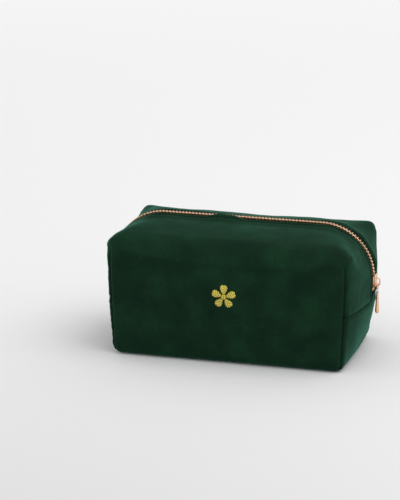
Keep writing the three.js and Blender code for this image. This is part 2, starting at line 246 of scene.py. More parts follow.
def keep_faces(piece: Piece, keep: Keep) -> None:
    """Deletes the faces that a test on their centre and normal turns down."""
    with editing(piece) as mesh:
        for face in mesh.faces:
            face.select = not keep(face.calc_center_median(), face.normal)
        show_selection(piece, mesh)
        bpy.ops.mesh.delete(type="FACE")


def length_along(edge: bmesh.types.BMEdge, axis: Axis) -> float:
    """Length of an edge that runs along an axis, and 0 of any other edge."""
    span = edge.verts[1].co - edge.verts[0].co
    return span.length if abs(span[axis.value]) > PARALLEL * span.length else 0.0


def divide(piece: Piece, axis: Axis, coarse: float, fine: float, zone: float) -> None:
    """Divides the edges along one axis into even steps, finer where a zone beside a seam was cut.

    Args:
        piece: A mesh of rectangles lined up with the axes.
        axis: Direction of the edges to divide.
        coarse: Step on long edges.
        fine: Step on edges no longer than the zone.
        zone: Length up to which an edge counts as lying beside a seam.
    """
    with editing(piece, "EDGE") as mesh:
        lengths = dict.fromkeys(round(length_along(edge, axis), 3) for edge in mesh.edges)
    for length in filter(None, lengths):
        step = fine if length <= zone + TOUCH else coarse
        cuts = round(length / step) - 1
        first = min(cuts, CUTS_AT_ONCE)
        subdivide_length(piece, axis, length, first)
        if cuts > first:
            subdivide_length(piece, axis, length / (first + 1), round(cuts / (first + 1)))


def subdivide_length(piece: Piece, axis: Axis, length: float, cuts: int) -> None:
    """Subdivides all edges along an axis that have one length."""
    if cuts < 1:
        return
    with editing(piece, "EDGE") as mesh:
        for edge in mesh.edges:
            edge.select = abs(length_along(edge, axis) - length) < SAME_LENGTH
        show_selection(piece, mesh)
        bpy.ops.mesh.subdivide(number_cuts=cuts, quadcorner="STRAIGHT_CUT")


def vectors(items: bpy.types.bpy_prop_collection, key: str) -> Array:
    """One vector of each of a mesh's items, as an N by 3 array."""
    flat = np.zeros(len(items) * 3, np.float32)
    items.foreach_get(key, flat)
    return flat.reshape(-1, 3).astype(float)


def places_of(piece: Piece) -> Array:
    """Vertex positions of a piece."""
    return vectors(piece.data.vertices, "co")


def marks_of(piece: Piece, name: str) -> Array:
    """Values of a named vector attribute."""
    return vectors(piece.data.attributes[name].data, "vector")


def put(piece: Piece, points: Array) -> None:
    """Moves a piece's vertices to new places."""
    piece.data.vertices.foreach_set("co", points.astype(np.float32).ravel())
    piece.data.update()


def mark(piece: Piece, name: str, values: Array) -> None:
    """Writes one number or vector to each vertex as a named attribute."""
    vector = values.ndim == 2
    kind = "FLOAT_VECTOR" if vector else "FLOAT"
    layer = piece.data.attributes.get(name) or piece.data.attributes.new(name, kind, "POINT")
    layer.data.foreach_set("vector" if vector else "value", values.astype(np.float32).ravel())


def apply_modifier(piece: Piece, kind: str, **settings: object) -> None:
    """Adds a modifier with its settings and applies it."""
    pick(piece)
    modifier = piece.modifiers.new(kind.title(), kind)
    for key, value in settings.items():
        setattr(modifier, key, value)
    bpy.ops.object.modifier_apply(modifier=modifier.name)


def face_out(piece: Piece) -> None:
    """Merges doubles and turns all faces outwards."""
    with editing(piece):
        bpy.ops.mesh.select_all(action="SELECT")
        bpy.ops.mesh.remove_doubles(threshold=1e-6)
        bpy.ops.mesh.normals_make_consistent(inside=False)


def smooth(piece: Piece, degrees: float = 50.0) -> None:
    """Shades a piece smooth, except over edges sharper than an angle."""
    pick(piece)
    bpy.ops.object.shade_smooth_by_angle(angle=math.radians(degrees))


def join(name: str, pieces: list[Piece]) -> Piece:
    """Joins pieces into one.

    Args:
        name: Name of the joined piece.
        pieces: The pieces; the first one keeps its material slots.

    Returns:
        The joined piece.
    """
    pick(*pieces)
    bpy.ops.object.join()
    joined = bpy.context.object
    joined.name = name
    joined.data.name = name
    return joined


def copy_of(piece: Piece) -> Piece:
    """A copy of a piece with its own mesh."""
    twin = piece.copy()
    twin.data = piece.data.copy()
    bpy.context.collection.objects.link(twin)
    return twin


def remove(piece: Piece) -> None:
    """Deletes a piece that only served as a model for copies."""
    bpy.data.objects.remove(piece, do_unlink=True)


def smoothstep(t: Array) -> Array:
    """Rises smoothly from 0 to 1 as t does."""
    t = np.clip(t, 0.0, 1.0)
    return t * t * (3 - 2 * t)


def bump_at(t: Array, centre: float, width: float) -> Array:
    """Bell curve of height 1, which falls to 0.37 a width from its centre."""
    return np.exp(-(((t - centre) / width) ** 2))


def cloudy(points: Array, grain: float, seed: float) -> Array:
    """Soft noise over points in millimetres, about -1 to 1, the same in every run."""
    shift = Vector((seed, 2.3 * seed, -1.7 * seed))
    return np.array([noise.noise(Vector(p) / grain + shift) for p in points])


# ---------------------------------------------------------------------------------------------
# Shape of the filled bag


@dataclass(frozen=True)
class BagShape:
    """Sizes of the pattern box and of the filled bag, and the way from one to the other."""

    length: float = 205.0
    depth: float = 114.0
    height: float = 105.0
    shoulder: float = 46.0
    zip_drop: float = 9.0
    side_seam: float = 6.0
    top_fold: float = 14.0
    base_fold: float = 8.0
    end_foot: float = 8.0
    corner: float = 10.0
    shoulder_spread: float = 0.88
    end_swell: float = 14.0
    face_swell: float = 4.0
    crown: float = 11.0
    top_lean: float = 3.0
    top_spread: float = 3.0
    front_zip_edge: float = 4.3
    back_zip_edge: float = 6.8
    lens_reach: float = 54.5
    lens_power: float = 1.35
    lip_width: float = 0.55

    @property
    def half_l(self) -> float:
        """Half of the length."""
        return self.length / 2

    @property
    def half_d(self) -> float:
        """Half of the depth."""
        return self.depth / 2

    def zip_edge(self, y: Array | float) -> Array | float:
        """Distance of the velvet's edge from the middle, on the side that y lies on."""
        return np.where(np.asarray(y) < 0, self.front_zip_edge, self.back_zip_edge)

    def from_zip(self, points: Array) -> Array:
        """Distance of pattern points from the velvet's edge beside the zip."""
        return np.abs(points[:, 1]) - self.zip_edge(points[:, 1])

    def on_top(self, points: Array) -> Array:
        """Which pattern points lie on the top."""
        return points[:, 2] > self.height - TOUCH

    def on_end(self, points: Array) -> Array:
        """Which pattern points lie on the left or right end."""
        return np.abs(points[:, 0]) > self.half_l - TOUCH

    @property
    def end_seam(self) -> float:
        """Height of the seam across each end."""
        return self.height - self.shoulder - self.zip_drop

    @property
    def zip_x(self) -> float:
        """Face of the zip on the right end."""
        return self.half_l + self.end_swell

    @staticmethod
    def round_edge(
        a: Array, b: Array, edge_a: float, edge_b: float, radius: Array | float
    ) -> tuple[Array, Array]:
        """Rounds the edge where one coordinate meets another.

        Args:
            a: First coordinate of each point.
            b: Second coordinate of each point.
            edge_a: Where the first coordinate ends.
            edge_b: Where the second coordinate ends.
            radius: Radius of the rounding.

        Returns:
            Both coordinates of the rounded points.
        """
        p, q = a - (edge_a - radius), b - (edge_b - radius)
        inside, first = (p > 0) & (q > 0), p >= q
        far = np.where(inside, np.maximum(p, q), 1.0)
        near = np.where(inside, np.minimum(p, q), 0.0)
        turn = math.pi / 4 * near / far
        long, short = far * np.cos(turn), far * np.sin(turn)
        p = np.where(inside, np.where(first, long, short), p)
        q = np.where(inside, np.where(first, short, long), q)
        return p + edge_a - radius, q + edge_b - radius

    def fill_out(self, points: Array) -> Array:
        """Moves points of the pattern box to where the filled bag has them."""
        half_l, half_d, height = self.half_l, self.half_d, self.height
        x, y, z = np.abs(points[:, 0]), np.abs(points[:, 1]), points[:, 2]
        x, y = self.round_edge(x, y, half_l, half_d, self.side_seam)
        y, z = self.round_edge(y, z, half_d, height, self.top_fold)
        y, z = self.round_edge(y, -z, half_d, 0.0, self.base_fold)
        x, z = self.round_edge(x, z, half_l, 0.0, self.end_foot)
        z = -z
        v = np.minimum(y / half_d, 1.0)
        middle = 1 - v * v
        turn = np.clip(1 - (v / self.shoulder_spread) ** 2, 0, 1)
        bend = self.corner + (self.shoulder - self.corner) * turn
        x, z = self.round_edge(x, z, half_l, height, bend)
        up = np.clip(z / (height - self.shoulder), 0, 1)
        lift = np.clip((z - self.end_seam) / self.zip_drop, 0, 1)
        high = np.clip(z / height, 0, 1)
        out = np.minimum(x / (half_l - self.shoulder), 1.0)
        u = np.minimum(x / half_l, 1.0)
        swell = self.face_swell * (1 - u * u) * 4 * high * (1 - high)
        dx = (self.end_swell * middle * np.sin(math.pi / 2 * up) + self.top_lean * v * v * high) * out
        dy = (swell + self.top_spread * high) * v**3
        dz = self.crown * middle * lift
        side, wall = np.sign(points[:, 0]), np.sign(points[:, 1])
        return np.stack([side * (x + dx), wall * (y + dy), z + dz], axis=1)

    @staticmethod
    def draw_in(t: Array, edge: float, zone: float, depth: Array | float) -> Array:
        """Draws a coordinate inwards by a depth, fading out over the zone next to its edge."""
        side = np.where((t < 0) & (edge > 0), -1.0, 1.0)
        inside = side * t - (edge - zone)
        drawn = side * (edge - zone + inside * (zone - depth) / zone)
        return np.where(inside > 0, drawn, t)

    def below(self, points: Array, depth: Array | float) -> Array:
        """Places at a depth below points of the outer face, on the filled bag."""
        x = self.draw_in(points[:, 0], self.half_l, self.side_seam, depth)
        y = self.draw_in(points[:, 1], self.half_d, self.side_seam, depth)
        upper = self.draw_in(points[:, 2], self.height, self.side_seam, depth)
        lower = -self.draw_in(-points[:, 2], 0.0, self.base_fold, depth)
        z = np.where(points[:, 2] > self.height / 2, upper, lower)
        return self.fill_out(np.stack([x, y, z], axis=1))

    def outward(self, points: Array) -> Array:
        """Unit directions out of the bag at points of the outer face."""
        way = self.fill_out(points) - self.below(points, 2.0)
        return way / np.linalg.norm(way, axis=1, keepdims=True)

    def on_run(self, run: Array, y: Array) -> Array:
        """Pattern points on the zip's run, counted from the right corner, with y across it."""
        x = np.clip(self.half_l - run, -self.half_l, self.half_l)
        z = self.height - np.maximum(-run, 0) - np.maximum(run - self.length, 0)
        return np.stack([x, y, z], axis=1)

    def run_at_height(self, z: float, right: bool) -> float:
        """Place on the zip's run of a real height on the right or the left end."""
        share = self.zip_drop / (self.zip_drop + self.crown)
        drop = self.height - (self.end_seam + (z - self.end_seam) * share)
        return -drop if right else self.length + drop

    def even_run(self, start: float, stop: float, pitch: float, shift: float) -> Array:
        """Places on the zip's run one real pitch apart.

        Args:
            start: First place allowed.
            stop: Last place allowed.
            pitch: Real distance between neighbours, along the curve.
            shift: Distance of the first one from the end seam.

        Returns:
            The places, in order.
        """
        run = np.arange(self.end_seam - self.height, self.length + self.height - self.end_seam, 0.05)
        line = self.fill_out(self.on_run(run, np.zeros_like(run)))
        travelled = np.concatenate([[0], np.cumsum(np.linalg.norm(np.diff(line, axis=0), axis=1))])
        places = np.interp(np.arange(shift, travelled[-1], pitch), travelled, run)
        return places[(places >= start) & (places <= stop)]

    def lip_share(self, points: Array) -> Array:
        """How far each pattern point follows its lip when the mouth opens, 0 to 1."""
        across = 1 - np.abs(points[:, 1]) / self.half_d
        lens = np.clip(1 - (points[:, 0] / self.lens_reach) ** 2, 0, 1) ** self.lens_power
        return np.where(self.on_top(points), smoothstep(across / self.lip_width) * lens, 0.0)


@dataclass(frozen=True)
class ClothRelief:
    """How the velvet stands proud of, or sinks below, the filled bag's even shape."""

    shape: BagShape
    seam_sink: float = 1.3
    seam_width: float = 1.4
    seam_top: float = 6.0
    seam_fade: float = 10.0
    end_seam_sink: float = 1.17
    end_seam_width: float = 1.3
    end_seam_fade: float = 1.5
    edge_sink: float = 1.9
    edge_width: float = 0.9
    stitch_sink: float = 1.05
    stitch_beat: float = 0.35
    stitch_pitch: float = 2.8
    stitch_band: Span = (4.9, 0.65)
    pucker: float = 0.2
    pucker_pitch: float = 6.4
    pucker_band: Span = (3.2, 3.6)
    pucker_wander: float = 4.4
    end_pucker: float = 0.08
    end_pucker_pitch: float = 7.36
    end_pucker_band: Span = (3.0, 3.2)
    end_ridge: float = 0.35
    end_ridge_band: Span = (4.6, 0.9)
    dent: float = 1.6
    dent_below_top: float = 13.0
    dent_reach: float = 8.0
    dent_fold: float = 0.35
    dent_folds: int = 5
    dent_fold_band: Span = (11.0, 7.0)
    zip_foot: Span = (0.5, 3.0)
    lap: Span = (-21.5, -0.5)
    lap_reach: float = 2.0
    lap_width: float = 3.0
    lap_rise: float = 2.8
    lap_band: Span = (1.0, 7.0)
    lap_fade: float = 12.0
    back_corner_lift: float = 3.8
    back_corner_reach: float = 17.0
    back_corner_foot: float = 62.0
    back_corner_fade: float = 40.0
    roll: float = 0.6
    roll_band: Span = (2.3, 1.4)
    second_roll: float = 0.3
    second_roll_band: Span = (7.2, 1.8)
    slack: float = 1.25
    base_slack: float = 0.15
    base_fade: float = 14.0

    def to_sides(self, p: Array) -> tuple[Array, Array]:
        """Distances of pattern points from the nearer end and from the nearer long wall."""
        return self.shape.half_l - np.abs(p[:, 0]), self.shape.half_d - np.abs(p[:, 1])

    def upright_seams(self, p: Array) -> tuple[Array, Array]:
        """Distance from the nearest upright corner seam, and how fully the seam shows there."""
        below_top = self.shape.height - self.seam_top - p[:, 2]
        return sum(self.to_sides(p)), smoothstep(below_top / self.seam_fade)

    def seams(self, p: Array) -> Array:
        """Depth of the seam lines alone, which also sets the painted shade in them.

        Args:
            p: Pattern points.

        Returns:
            Outward offset of each point, in millimetres, never positive.
        """
        s = self.shape
        distance, shown = self.upright_seams(p)
        sunk = self.seam_sink * shown * bump_at(distance, 0.0, self.seam_width)
        near_end = np.exp(-self.to_sides(p)[0] / self.end_seam_fade)
        sunk += self.end_seam_sink * near_end * bump_at(p[:, 2], s.end_seam, self.end_seam_width)
        from_zip, by_zip = s.from_zip(p), self.beside_zip(p)
        run = np.where(s.on_end(p), p[:, 2], p[:, 0])
        stitch = self.stitch_sink * (1 + self.stitch_beat * np.cos(2 * math.pi * run / self.stitch_pitch))
        sunk += by_zip * stitch * bump_at(from_zip, *self.stitch_band)
        sunk += by_zip * self.edge_sink * (1 - self.laps_over(p)) * bump_at(from_zip, 0.0, self.edge_width)
        return -sunk

    def laps_over(self, p: Array) -> Array:
        """1 on the stretch of the front edge that lies up over the chain, fading out round it."""
        into = smoothstep((p[:, 0] - self.lap[0]) / self.lap_fade + 0.5)
        along = into * smoothstep((self.lap[1] - p[:, 0]) / self.lap_fade + 0.5)
        return along * (p[:, 1] < 0) * self.shape.on_top(p)

    def beside_zip(self, p: Array) -> Array:
        """1 on the top and on the ends above their seam, fading to 0 at that seam."""
        return smoothstep((p[:, 2] - self.shape.end_seam - self.zip_foot[0]) / self.zip_foot[1])

    def puckers(self, p: Array) -> Array:
        """Short gathers square to the seams, and a ridge below the seam of each end."""
        s = self.shape
        distance, shown = self.upright_seams(p)
        wander = self.pucker_wander * cloudy(p, 23.0, 4.1)
        wave = np.sin(2 * math.pi * (p[:, 2] + wander) / self.pucker_pitch)
        end_wave = np.sin(2 * math.pi * (p[:, 1] + wander) / self.end_pucker_pitch)
        on_end = self.end_pucker * end_wave * bump_at(np.abs(p[:, 2] - s.end_seam), *self.end_pucker_band)
        on_end += self.end_ridge * bump_at(s.end_seam - p[:, 2], *self.end_ridge_band)
        return self.pucker * shown * wave * bump_at(distance, *self.pucker_band) + on_end * s.on_end(p)

    def corners(self, p: Array) -> Array:
        """Dents and short folds where the upright seams end below the front top corners."""
        near = np.stack([*self.to_sides(p), p[:, 2] - (self.shape.height - self.dent_below_top)], axis=1)
        reach = np.linalg.norm(near, axis=1)
        turn = np.arctan2(near[:, 2], near[:, 0] - near[:, 1])
        fold = self.dent_fold * np.sin(self.dent_folds * turn + 3 * cloudy(p, 30.0, 9.2))
        dent = fold * bump_at(reach, *self.dent_fold_band) - self.dent * bump_at(reach, 0.0, self.dent_reach)
        return dent * (p[:, 1] < 0)

    def shifts(self, p: Array) -> Array:
        """Moves that aren't along the cloth's face: the lap over the chain, the full back corners.

        Args:
            p: Pattern points.

        Returns:
            How far each point moves, in millimetres.
        """
        moved = np.zeros_like(p)
        at_edge = bump_at(self.shape.from_zip(p), 0.0, self.lap_width)
        moved[:, 1] = self.lap_reach * self.laps_over(p) * at_edge
        up = smoothstep((p[:, 2] - self.back_corner_foot) / self.back_corner_fade) * (p[:, 1] > 0)
        at_corner = bump_at(np.hypot(*self.to_sides(p)), 0.0, self.back_corner_reach)
        moved[:, 2] = self.back_corner_lift * up * at_corner
        return moved

    def zip_roll(self, p: Array) -> Array:
        """Padded roll between the zip and its row of stitches, and the swelling of the lap."""
        from_zip = self.shape.from_zip(p)
        raised = self.roll * (1 + 0.5 * cloudy(p, 21.0, 2.4)) * bump_at(from_zip, *self.roll_band)
        raised += self.second_roll * bump_at(from_zip, *self.second_roll_band)
        raised += self.lap_rise * self.laps_over(p) * bump_at(from_zip, *self.lap_band)
        return self.beside_zip(p) * raised

    def slackness(self, p: Array) -> Array:
        """Soft hollows and swellings of loose velvet over foam, calmer near the base."""
        broad = cloudy(p * np.array([1, 1, 0.8]), 44.0, 1.3)
        shown = self.base_slack + (1 - self.base_slack) * smoothstep(p[:, 2] / self.base_fade)
        return self.slack * shown * (broad + 0.42 * cloudy(p, 19.0, 6.7) + 0.13 * cloudy(p, 8.0, 3.9))

    def offsets(self, p: Array) -> tuple[Array, Array]:
        """Total offset of each pattern point, and the part that its seams sink it by."""
        sunk = self.seams(p)
        return sunk + self.puckers(p) + self.corners(p) + self.zip_roll(p) + self.slackness(p), sunk


@dataclass(frozen=True)
class ClothSlump:
    """How a wall's cloth settles between its seams, simulated on a coarse copy of the wall.

    The moves of the coarse copy are capped and then read at any pattern point of the wall.
    """

    shape: BagShape
    steps: int = 18
    quality: int = 6
    mass: float = 0.2
    tension: float = 25.0
    compression: float = 8.0
    bending: float = 0.4
    seam_band: float = 20.0
    filling: float = 0.35
    out_cap: float = 2.6
    in_cap: float = 1.5
    reach: float = 6.0
    neighbours: int = 8
    motif: Span = (0.0, 62.0)
    motif_reach: float = 17.0

    def held(self, p: Array) -> Array:
        """How firmly each pattern point is sewn down: 1 at the seams and the motif, 0 far off."""
        s = self.shape
        to_side = np.maximum(s.half_l - np.abs(p[:, 0]), s.half_d - np.abs(p[:, 1]))
        to_end_seam = np.where(s.on_end(p), p[:, 2] - s.end_seam, s.height)
        to_seam = np.min([to_side, s.from_zip(p), to_end_seam, p[:, 2]], axis=0)
        sewn = 1 - smoothstep(to_seam / self.seam_band)
        on_front = (p[:, 1] < 0) & ~s.on_top(p)
        to_motif = np.hypot(p[:, 0] - self.motif[0], p[:, 2] - self.motif[1])
        stiff = np.where(on_front, 1 - smoothstep(to_motif / self.motif_reach - 0.6), 0.0)
        return np.maximum(sewn, stiff)

    def simulate(self, piece: Piece, pattern: Array) -> Array:
        """Lets the coarse copy settle under its weight and the filling's push.

        Args:
            piece: The coarse copy, still flat-sided.
            pattern: Its pattern points.

        Returns:
            How far each vertex moved, in millimetres.
        """
        start = self.shape.fill_out(pattern)
        put(piece, start * MM)
        held = piece.vertex_groups.new(name="held")
        for number, weight in enumerate(self.held(pattern)):
            held.add([number], float(weight), "REPLACE")
        cloth = piece.modifiers.new("slump", "CLOTH")
        cloth.settings.quality = self.quality
        cloth.settings.mass = self.mass
        cloth.settings.tension_stiffness = self.tension
        cloth.settings.compression_stiffness = self.compression
        cloth.settings.bending_stiffness = self.bending
        cloth.settings.vertex_group_mass = held.name
        cloth.settings.use_pressure = True
        cloth.settings.uniform_pressure_force = self.filling
        cloth.collision_settings.use_collision = False
        cloth.point_cache.frame_end = self.steps
        scene = bpy.context.scene
        for step in range(1, self.steps + 1):
            scene.frame_set(step)
        settled = piece.evaluated_get(bpy.context.evaluated_depsgraph_get())
        places = places_of(settled)
        scene.frame_set(1)
        return places / MM - start

    def moves(self, piece: Piece, points: Array) -> Array:
        """Reads the settled cloth's moves at finer pattern points.

        Args:
            piece: The coarse, flat-sided copy of the wall; it is used up.
            points: Pattern points to read at.

        Returns:
            Moves in millimetres, capped inwards and outwards.
        """
        pattern = places_of(piece)
        moved = self.simulate(piece, pattern)
        remove(piece)
        log.info("slump: moved up to %.1f mm", np.linalg.norm(moved, axis=1).max())
        tree = KDTree(len(pattern))
        for number, place in enumerate(pattern):
            tree.insert(place, number)
        tree.balance()
        read = np.zeros_like(points)
        for number, place in enumerate(points):
            near = tree.find_n(place, self.neighbours)
            weights = np.array([math.exp(-((distance / self.reach) ** 2)) for _, _, distance in near])
            rows = moved[[index for _, index, _ in near]]
            read[number] = weights @ rows / weights.sum()
        outward = np.einsum("ij,ij->i", read, self.shape.outward(points))
        length = np.maximum(np.linalg.norm(read, axis=1), 1e-6)
        cap = self.in_cap + (self.out_cap - self.in_cap) * smoothstep((outward / length + 1) / 2)
        # Small moves stay as they are and large ones level off at the cap
        return read * (cap * np.tanh(length / cap) / length)[:, None]


# ---------------------------------------------------------------------------------------------
# Finishes


def to_linear(hex_colour: str) -> tuple[float, float, float, float]:
    """Linear colour of an sRGB hex value such as 1b3325."""
    channels = [int(hex_colour[k : k + 2], 16) / 255 for k in (0, 2, 4)]
    linear = [c / 12.92 if c <= 0.04045 else ((c + 0.055) / 1.055) ** 2.4 for c in channels]
    return (*linear, 1.0)


def add_node(
    tree: bpy.types.NodeTree,
    kind: str,
    inputs: dict[str | int, object] | None = None,
    output: str | int = 0,
    stops: tuple[tuple[float, str], ...] = (),
    **settings: object,
) -> Socket | None:
    """Adds a node with its settings, constants and links.

    Args:
        tree: Node tree of the material or world.
        kind: Blender's name for the node's type, without its first word, ShaderNode.
        inputs: Constants or sockets to link from, by input name or number.
        output: Name or number of the output to give back.
        stops: Places and sRGB hex colours along a colour ramp, in order.
        settings: The node's own properties.

    Returns:
        The output's socket, or None from a node that has no outputs.
    """
    node = tree.nodes.new(f"ShaderNode{kind}")
    for key, value in settings.items():
        setattr(node, key, value)
    for key, value in (inputs or {}).items():
        if isinstance(value, Socket):
            tree.links.new(value, node.inputs[key])
        else:
            node.inputs[key].default_value = value
    if stops:
        elements = node.color_ramp.elements
        while len(elements) < len(stops):
            elements.new(0.5)
        for element, (place, colour) in zip(elements, stops):
            element.position, element.color = place, to_linear(colour)
    return node.outputs[output] if node.outputs else None


@dataclass(frozen=True)
class Finish:
    """A finish: its name, the record's slot, and the shader's constants."""

    name: str
    slot: str
    constants: dict[str, object] = field(default_factory=dict)

    def surface(self, add: AddNode) -> dict[str, Socket]:
        """Sockets for the shader's inputs; each finish gives its own."""
        raise NotImplementedError

    def material(self) -> bpy.types.Material:
        """The finish's material, made once."""
        made = bpy.data.materials.get(self.name)
        if made:
            return made
        made = bpy.data.materials.new(self.name)
        made.use_nodes = True
        made.node_tree.nodes.clear()
        add = partial(add_node, made.node_tree)
        shader = add("BsdfPrincipled", {**self.constants, **self.surface(add)})
        add("OutputMaterial", {"Surface": shader})
        return made

    def dress(self, piece: Piece) -> None:
        """Gives a piece this finish."""
        piece.data.materials.clear()
        piece.data.materials.append(self.material())


@dataclass(frozen=True)
class CrushedVelvet(Finish):
    """Polyester velvet, brushed one way and crushed by handling.

    The pile drinks light face on and glows where it is seen edge on, so folds have pale rims and
    dark bottoms, and patches that lean another way read lighter or darker. The seams' dark
    bottoms are also painted in, as painted shade.
    """

    name: str = "polyester_velvet_bottle_green"
    slot: str = "velvet"
    constants: dict[str, object] = field(
        default_factory=lambda: {
            "Roughness": 0.85,
            "Specular IOR Level": 0.08,
            "Sheen Weight": 0.2,
            "Sheen Roughness": 0.36,
            "Sheen Tint": to_linear("74f4cf"),
        }
    )
    dark: str = "0a2215"
    middle: str = "0d2818"
    light: str = "11311e"
    # Near-black of the painted shade in the seams
    seam: str = "030a06"

    def surface(self, add: AddNode) -> dict[str, Socket]:
        """Mottled pile, with painted shade in the seams, and a nap that stands up under the light."""
        cloth = add("Attribute", output="Vector", attribute_name=PATTERN)
        # Crushed patches of pile are 15 to 25 mm across
        patches = add("TexNoise", {"Vector": cloth, "Scale": 48.0, "Detail": 3.0, "Roughness": 0.5}, "Fac")
        # Tufts are 0.3 mm; drawn 1.6 mm across so that they show
        tufts = add("TexNoise", {"Vector": cloth, "Scale": 620.0, "Detail": 2.0, "Roughness": 0.6}, "Fac")
        mixed = add("Math", {0: tufts, 1: 0.3}, operation="MULTIPLY")
        both = add("Math", {0: patches, 1: 0.7, 2: mixed}, operation="MULTIPLY_ADD")
        pile = add("ValToRGB", {0: both}, stops=((0.35, self.dark), (0.5, self.middle), (0.67, self.light)))
        # Painted shade: the deeper a seam, the further the pile is mixed towards the seams' near-black
        crease = add("Attribute", output="Fac", attribute_name=PAINTED_SHADE)
        colour = add("Mix", {0: crease, 6: pile, 7: to_linear(self.seam)}, 2, data_type="RGBA")
        # Bristles of the pile are finer than the tufts; drawn 0.7 mm across
        bristles = add("TexNoise", {"Vector": cloth, "Scale": 1500.0, "Detail": 1.0}, "Fac")
        height = add("Math", {0: bristles, 1: 0.4, 2: both}, operation="MULTIPLY_ADD")
        bump = add("Bump", {"Height": height, "Strength": 0.4, "Distance": 0.0007})
        return {"Base Color": colour, "Normal": bump}


@dataclass(frozen=True)
class LiningSatin(Finish):
    """Woven acetate satin: floats of thread lie side by side, so it gleams softly across them."""

    name: str = "acetate_satin_deep_green"
    slot: str = "lining"
    constants: dict[str, object] = field(
        default_factory=lambda: {"Specular IOR Level": 0.5, "Sheen Weight": 0.12}
    )

    def surface(self, add: AddNode) -> dict[str, Socket]:
        """Fine diagonal floats and slow changes of shade."""
        cloth = add("Attribute", output="Vector", attribute_name=PATTERN)
        shade = add("TexNoise", {"Vector": cloth, "Scale": 40.0, "Detail": 3.0}, "Fac")
        colour = add("ValToRGB", {0: shade}, stops=((0.3, "10241a"), (0.7, "1c3a2a")))
        # Floats are 0.15 mm apart; drawn every 1.2 mm
        waves = {"Vector": cloth, "Scale": 130.0, "Distortion": 0.6}
        floats = add("TexWave", waves, "Fac", bands_direction="DIAGONAL")
        gloss = add("MapRange", {0: floats, 3: 0.34, 4: 0.5})
        bump = add("Bump", {"Height": floats, "Strength": 0.18, "Distance": 0.0004})
        return {"Base Color": colour, "Roughness": gloss, "Normal": bump}


@dataclass(frozen=True)
class ZipTape(Finish):
    """Polyester herringbone tape: a matt weave whose ribs slant to and fro."""

    name: str = "polyester_herringbone_tape"
    slot: str = "tape"
    constants: dict[str, object] = field(
        default_factory=lambda: {"Roughness": 0.86, "Specular IOR Level": 0.3}
    )

    def surface(self, add: AddNode) -> dict[str, Socket]:
        """Slanting ribs in two shades."""
        cloth = add("Attribute", output="Vector", attribute_name=PATTERN)
        # Ribs are 0.5 mm apart; drawn every 1.1 mm
        waves = {"Vector": cloth, "Scale": 145.0, "Distortion": 1.4, "Detail": 2.0}
        ribs = add("TexWave", waves, "Fac", bands_direction="DIAGONAL")
        colour = add("ValToRGB", {0: ribs}, stops=((0.2, "060e0a"), (0.8, "0d1a13")))
        bump = add("Bump", {"Height": ribs, "Strength": 0.5, "Distance": 0.0004})
        return {"Base Color": colour, "Normal": bump}


@dataclass(frozen=True)
class RoseGold(Finish):
    """Zinc alloy, die-cast, polished and plated in rose gold.

    The plating throws sharp peach highlights and goes brown-orange where it mirrors the dark
    cloth; handling leaves hairline scratches and duller patches.
    """

    name: str = "plated_zinc_rose_gold"
    slot: str = "zip_metal"
    constants: dict[str, object] = field(default_factory=lambda: {"Metallic": 1.0})

    def surface(self, add: AddNode) -> dict[str, Socket]:
        """Plating with slow changes of tone, hairlines and duller patches."""
        place = add("TexCoord", output="Object")
        tone = add("TexNoise", {"Vector": place, "Scale": 420.0, "Detail": 3.0}, "Fac")
        colour = add("ValToRGB", {0: tone}, stops=((0.3, "e0a67a"), (0.7, "f5cda6")))
        # Hairlines are a hundredth of a millimetre; drawn 0.3 mm wide
        stretched = add("Mapping", {"Vector": place, "Scale": (1.0, 1.0, 0.12)})
        hairlines = add("TexNoise", {"Vector": stretched, "Scale": 3200.0, "Detail": 2.0}, "Fac")
        gloss = add("MapRange", {0: hairlines, 1: 0.3, 2: 0.7, 3: 0.17, 4: 0.34})
        bump = add("Bump", {"Height": hairlines, "Strength": 0.08, "Distance": 0.0002})
        return {"Base Color": colour, "Roughness": gloss, "Normal": bump}


@dataclass(frozen=True)
class GoldThread(Finish):
    """Rayon embroidery thread wound with metal foil, laid in satin stitch.

    Strands lie side by side, each with its own gloss and a painted glint, and painted shade darkens the gaps
    between them.
    """

    name: str = "metallic_embroidery_thread"
    slot: str = "thread"
    constants: dict[str, object] = field(
        default_factory=lambda: {"Metallic": 0.25, "Sheen Weight": 0.15}
    )

    def surface(self, add: AddNode) -> dict[str, Socket]:
        """Strands along each petal with their own tones, painted glints, and painted shade between them."""
        strand = add("Attribute", output="Vector", attribute_name=THREAD)
        # Strands are 0.35 mm; drawn 1 mm wide
        waves = {"Vector": strand, "Scale": 150.0, "Distortion": 0.4, "Detail": 1.0}
        rows = add("TexWave", waves, "Fac", bands_direction="X")
        tone = add("TexNoise", {"Vector": strand, "Scale": 500.0, "Detail": 2.0}, "Fac")
        both = add("Math", {0: tone, 1: 0.5, 2: rows}, operation="MULTIPLY_ADD")
        # Painted glint and shade: the rows lighten each strand and darken the gaps, over the thread's own
        # random tone
        colour = add("ValToRGB", {0: both}, stops=((0.1, "5a5216"), (0.5, "b3a433"), (1.0, "eedd5c")))
        gloss = add("MapRange", {0: tone, 3: 0.3, 4: 0.5})
        bump = add("Bump", {"Height": rows, "Strength": 0.9, "Distance": 0.0007})
        return {"Base Color": colour, "Roughness": gloss, "Normal": bump}


